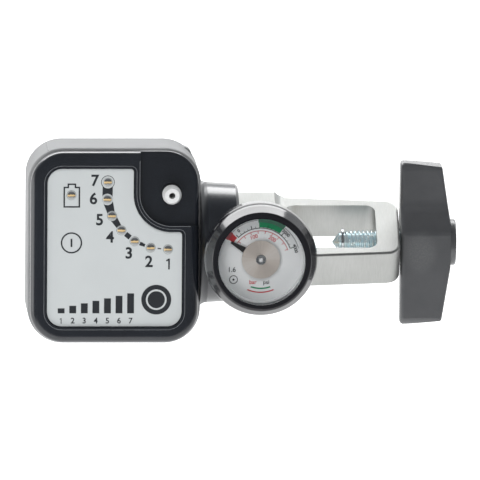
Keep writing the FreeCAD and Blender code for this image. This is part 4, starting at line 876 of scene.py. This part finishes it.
# Clamp screw with its rolled thread
SCREW_TIP, SCREW_END = reach("clamp_screw", ALONG)
CONE_END, DOG_END, GROOVE_END = 17.6, 18.95, 19.75
THREAD_START, THREAD_STOP = GROOVE_END, 38.6
THREAD_RADIUS, THREAD_DEEP, PITCH = 3.97, 0.82, 1.411
THREAD_ROOT = THREAD_RADIUS - THREAD_DEEP
DOG_RADIUS, GROOVE_RADIUS = 3.2, 2.6
DOG_PROFILE = [
    (SCREW_TIP, 0), (SCREW_TIP + 0.3, 0.5), (CONE_END, 2.55), (CONE_END + 0.65, DOG_RADIUS),
    (DOG_END, DOG_RADIUS), (DOG_END, GROOVE_RADIUS), (GROOVE_END, GROOVE_RADIUS),
    (GROOVE_END, THREAD_ROOT), (GROOVE_END + 0.3, THREAD_ROOT)]
SHANK_PROFILE = [
    (THREAD_STOP - 0.3, THREAD_ROOT), (THREAD_STOP - 0.1, THREAD_RADIUS), (SCREW_END, THREAD_RADIUS)]


def grow_thread(material):
    """A helical thread: a fine tube whose skin sinks between the turns by its phase."""
    tree = Growth("thread", Start=THREAD_START, Stop=THREAD_STOP, Radius=THREAD_RADIUS, Depth=THREAD_DEEP,
                  Pitch=PITCH, Rows=160, Around=40)
    size = tree.size
    start, stop = [tree.node("ShaderNodeCombineXYZ", [size[key], 0, 0]) for key in ("Start", "Stop")]
    line = tree.node("GeometryNodeCurvePrimitiveLine", {"Start": start, "End": stop})
    spine = tree.node("GeometryNodeResampleCurve", {"Curve": line, "Count": size["Rows"]})
    sockets = {"Resolution": size["Around"], "Radius": size["Radius"]}
    ring = tree.node("GeometryNodeCurvePrimitiveCircle", sockets)
    tube = tree.node("GeometryNodeCurveToMesh", {"Curve": spine, "Profile Curve": ring, "Fill Caps": True})
    x, y, z = tree.split(tree.node("GeometryNodeInputPosition"))
    phase = (x / size["Pitch"] - z.apply("ARCTAN2", y) / (2 * math.pi)).apply("FRACT")
    crest = (1.6 - (phase - 0.5).apply("ABSOLUTE") * 4.0).apply("MAXIMUM", 0.0).apply("MINIMUM", 1.0)
    fade = ((x - size["Start"]) / size["Pitch"] + 0.15).apply("MINIMUM", 1.0)
    scale = 1 - size["Depth"] * (1 - crest * fade) / size["Radius"]
    place = tree.node("ShaderNodeCombineXYZ", [x, y * scale, z * scale])
    return tree.mesh(tree.node("GeometryNodeSetPosition", {"Geometry": tube, "Position": place}), material)


def make_screw():
    """Pointed dog, ring groove, helical thread and plain shank."""
    bm = bmesh.new()
    pour(bm, grow_thread(finishes["zinc_steel"]))
    bmesh.ops.scale(bm, vec=(MM, MM, MM), verts=bm.verts)
    for profile in (DOG_PROFILE, SHANK_PROFILE):
        turned(bm, profile, Vector(), Vector((0, 1, 0)), Vector((0, 0, 1)), ALONG)
    screw = add_piece("clamp_screw_thread", bm, finishes["zinc_steel"], "screw", 30)
    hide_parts("clamp_screw")


# Sections of the hub's centre
BOSS_PROFILE = [(-0.1, 1.7), (0.35, 1.65), (0.35, 1.3), (0.15, 1.2), (0.15, 0.8), (0.45, 0.6), (0.5, 0)]
PIN_PROFILE = [(0.3, 0.75), (0.62, 0.7), (0.7, 0.5), (0.72, 0)]


def make_hub_boss():
    """A small raised boss with a sunk ring, and a bright pin in it."""
    for name, profile, around, metal in (("hub_boss", BOSS_PROFILE, 32, "steel"),
                                         ("hub_pin", PIN_PROFILE, 24, "barb_nickel")):
        bm = bmesh.new()
        turned(bm, profile, GAUGE_AXIS + HUB_TOP * OUT, ALONG, UP, OUT, around)
        add_piece(name, bm, finishes[metal], "pointer", 180)


def make_piston_coil():
    """The piston's spring as one piece on the frame, its seams merged."""
    bm = bmesh.new()
    bm.from_mesh(frame["nodes"]["piston_spring"].data)
    bmesh.ops.remove_doubles(bm, verts=bm.verts, dist=SEAM)
    low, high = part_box("piston_spring")
    coil = add_piece("piston_coil", bm, finishes["steel"], "frame", 40)
    1 - PISTON_TRAVEL / (high[0] - low[0])
    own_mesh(coil)
    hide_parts("piston_spring")


print_panel()
print_edges()
make_lamps()
print_dial()
make_dial_wall()
make_screw()
make_hub_boss()
make_piston_coil()


# Floor, light and camera, in metres
FLOOR_LEVEL = -0.16
FLOOR_HALF = 6.0
LIT_PLACE = Vector((-0.02, 0, 0))
# Each box of light: its name, place, width, height and radiance, and whether gloss shows it
LIGHTS = [
    ("back_box", (-0.16, 1.1, 0.42), 1.6, 0.5, 5.0, True),
    ("left_box", (-1.1, -0.15, 0.0), 0.9, 0.5, 1.6, True),
    ("low_front_box", (-0.2, -1.2, 0.02), 1.4, 0.22, 0.9, True),
    ("top_fill", (-0.05, -0.35, 0.95), 0.6, 0.6, 4.0, False),
    ("front_fill", (-0.4, -1.0, 0.35), 0.5, 0.5, 4.0, False),
]
CAMERA_AWAY = 5.0
CAMERA_BEARING = math.radians(-3.8)
CAMERA_HEIGHT = math.radians(40.0)
CAMERA_TARGET = Vector((-0.01524, 0.00043, 0.00052))
PHOTO_PIXELS = 480
PIXEL = 0.338 * MM


def make_floor():
    """A plain white floor that gloss shows at about a third of its brightness."""
    bm = bmesh.new()
    level = Matrix.Translation((0, 0, FLOOR_LEVEL))
    bmesh.ops.create_grid(bm, x_segments=1, y_segments=1, size=FLOOR_HALF, matrix=level)
    mesh = bpy.data.meshes.new("floor")
    bm.to_mesh(mesh)
    bm.free()
    paint = Paint("floor_white", Roughness=0.9, Emission_Strength=0.74)
    specks = paint.noise(3, 2, 0.5)
    in_gloss = paint.node("ShaderNodeLightPath", output="Is Glossy Ray")
    paint.set(Base_Color=paint.ramp(specks, (0.3, grey(0.9)), (0.7, grey(0.92))),
              Emission_Color=paint.blend(in_gloss, grey(1.0), grey(0.35)))
    mesh.materials.append(paint.material)
    floor = bpy.data.objects.new("floor", mesh)
    bpy.context.scene.collection.objects.link(floor)


def make_lights():
    """Soft boxes that face the object, unseen by the camera."""
    for name, place, wide, high, radiance, in_gloss in LIGHTS:
        light = bpy.data.lights.new(name, "AREA")
        light.shape = "RECTANGLE"
        light.size, light.size_y = wide, high
        light.energy = radiance * math.pi * wide * high
        lamp = bpy.data.objects.new(name, light)
        lamp.location = place
        lamp.rotation_euler = (LIT_PLACE - Vector(place)).to_track_quat("-Z", "Y").to_euler()
        lamp.visible_camera = False
        lamp.visible_glossy = in_gloss
        bpy.context.scene.collection.objects.link(lamp)


def make_studio():
    """A dim room, brighter low behind the object, and white where the camera looks past it."""
    world = bpy.data.worlds.new("studio")
    world.use_nodes = True
    bpy.context.scene.world = world
    sky = Nodes(world.node_tree)
    background = world.node_tree.nodes["Background"]
    x, y, z = sky.split(sky.node("ShaderNodeTexCoord", output="Generated"))
    back = y.band(0.2, 0.7) * (1 - z.band(0.5, 0.75))
    dim = 0.16 + 0.8 * back
    by_camera = sky.node("ShaderNodeLightPath", output="Is Camera Ray")
    sky.join(background.inputs["Color"], (0.95, 0.975, 1.0))
    sky.join(background.inputs["Strength"], dim + by_camera * (1.05 - dim))


def make_camera():
    """A very long lens, level with the main axis."""
    back = Vector((math.sin(CAMERA_BEARING) * math.cos(CAMERA_HEIGHT),
                   -math.cos(CAMERA_BEARING) * math.cos(CAMERA_HEIGHT),
                   math.sin(CAMERA_HEIGHT)))
    right = (ALONG - back * back.x).normalized()
    up = back.cross(right)
    camera = bpy.data.cameras.new("camera")
    camera.sensor_width = 36.0
    camera.lens = camera.sensor_width * CAMERA_AWAY / (PHOTO_PIXELS * PIXEL)
    camera.clip_end = 20
    holder = bpy.data.objects.new("camera", camera)
    pose = Matrix((right, up, back)).transposed().to_4x4()
    pose.translation = CAMERA_TARGET + back * CAMERA_AWAY
    holder.matrix_world = pose
    bpy.context.scene.collection.objects.link(holder)
    bpy.context.scene.camera = holder


make_floor()
make_studio()
make_lights()
make_camera()
bpy.context.scene.view_settings.view_transform = "Standard"
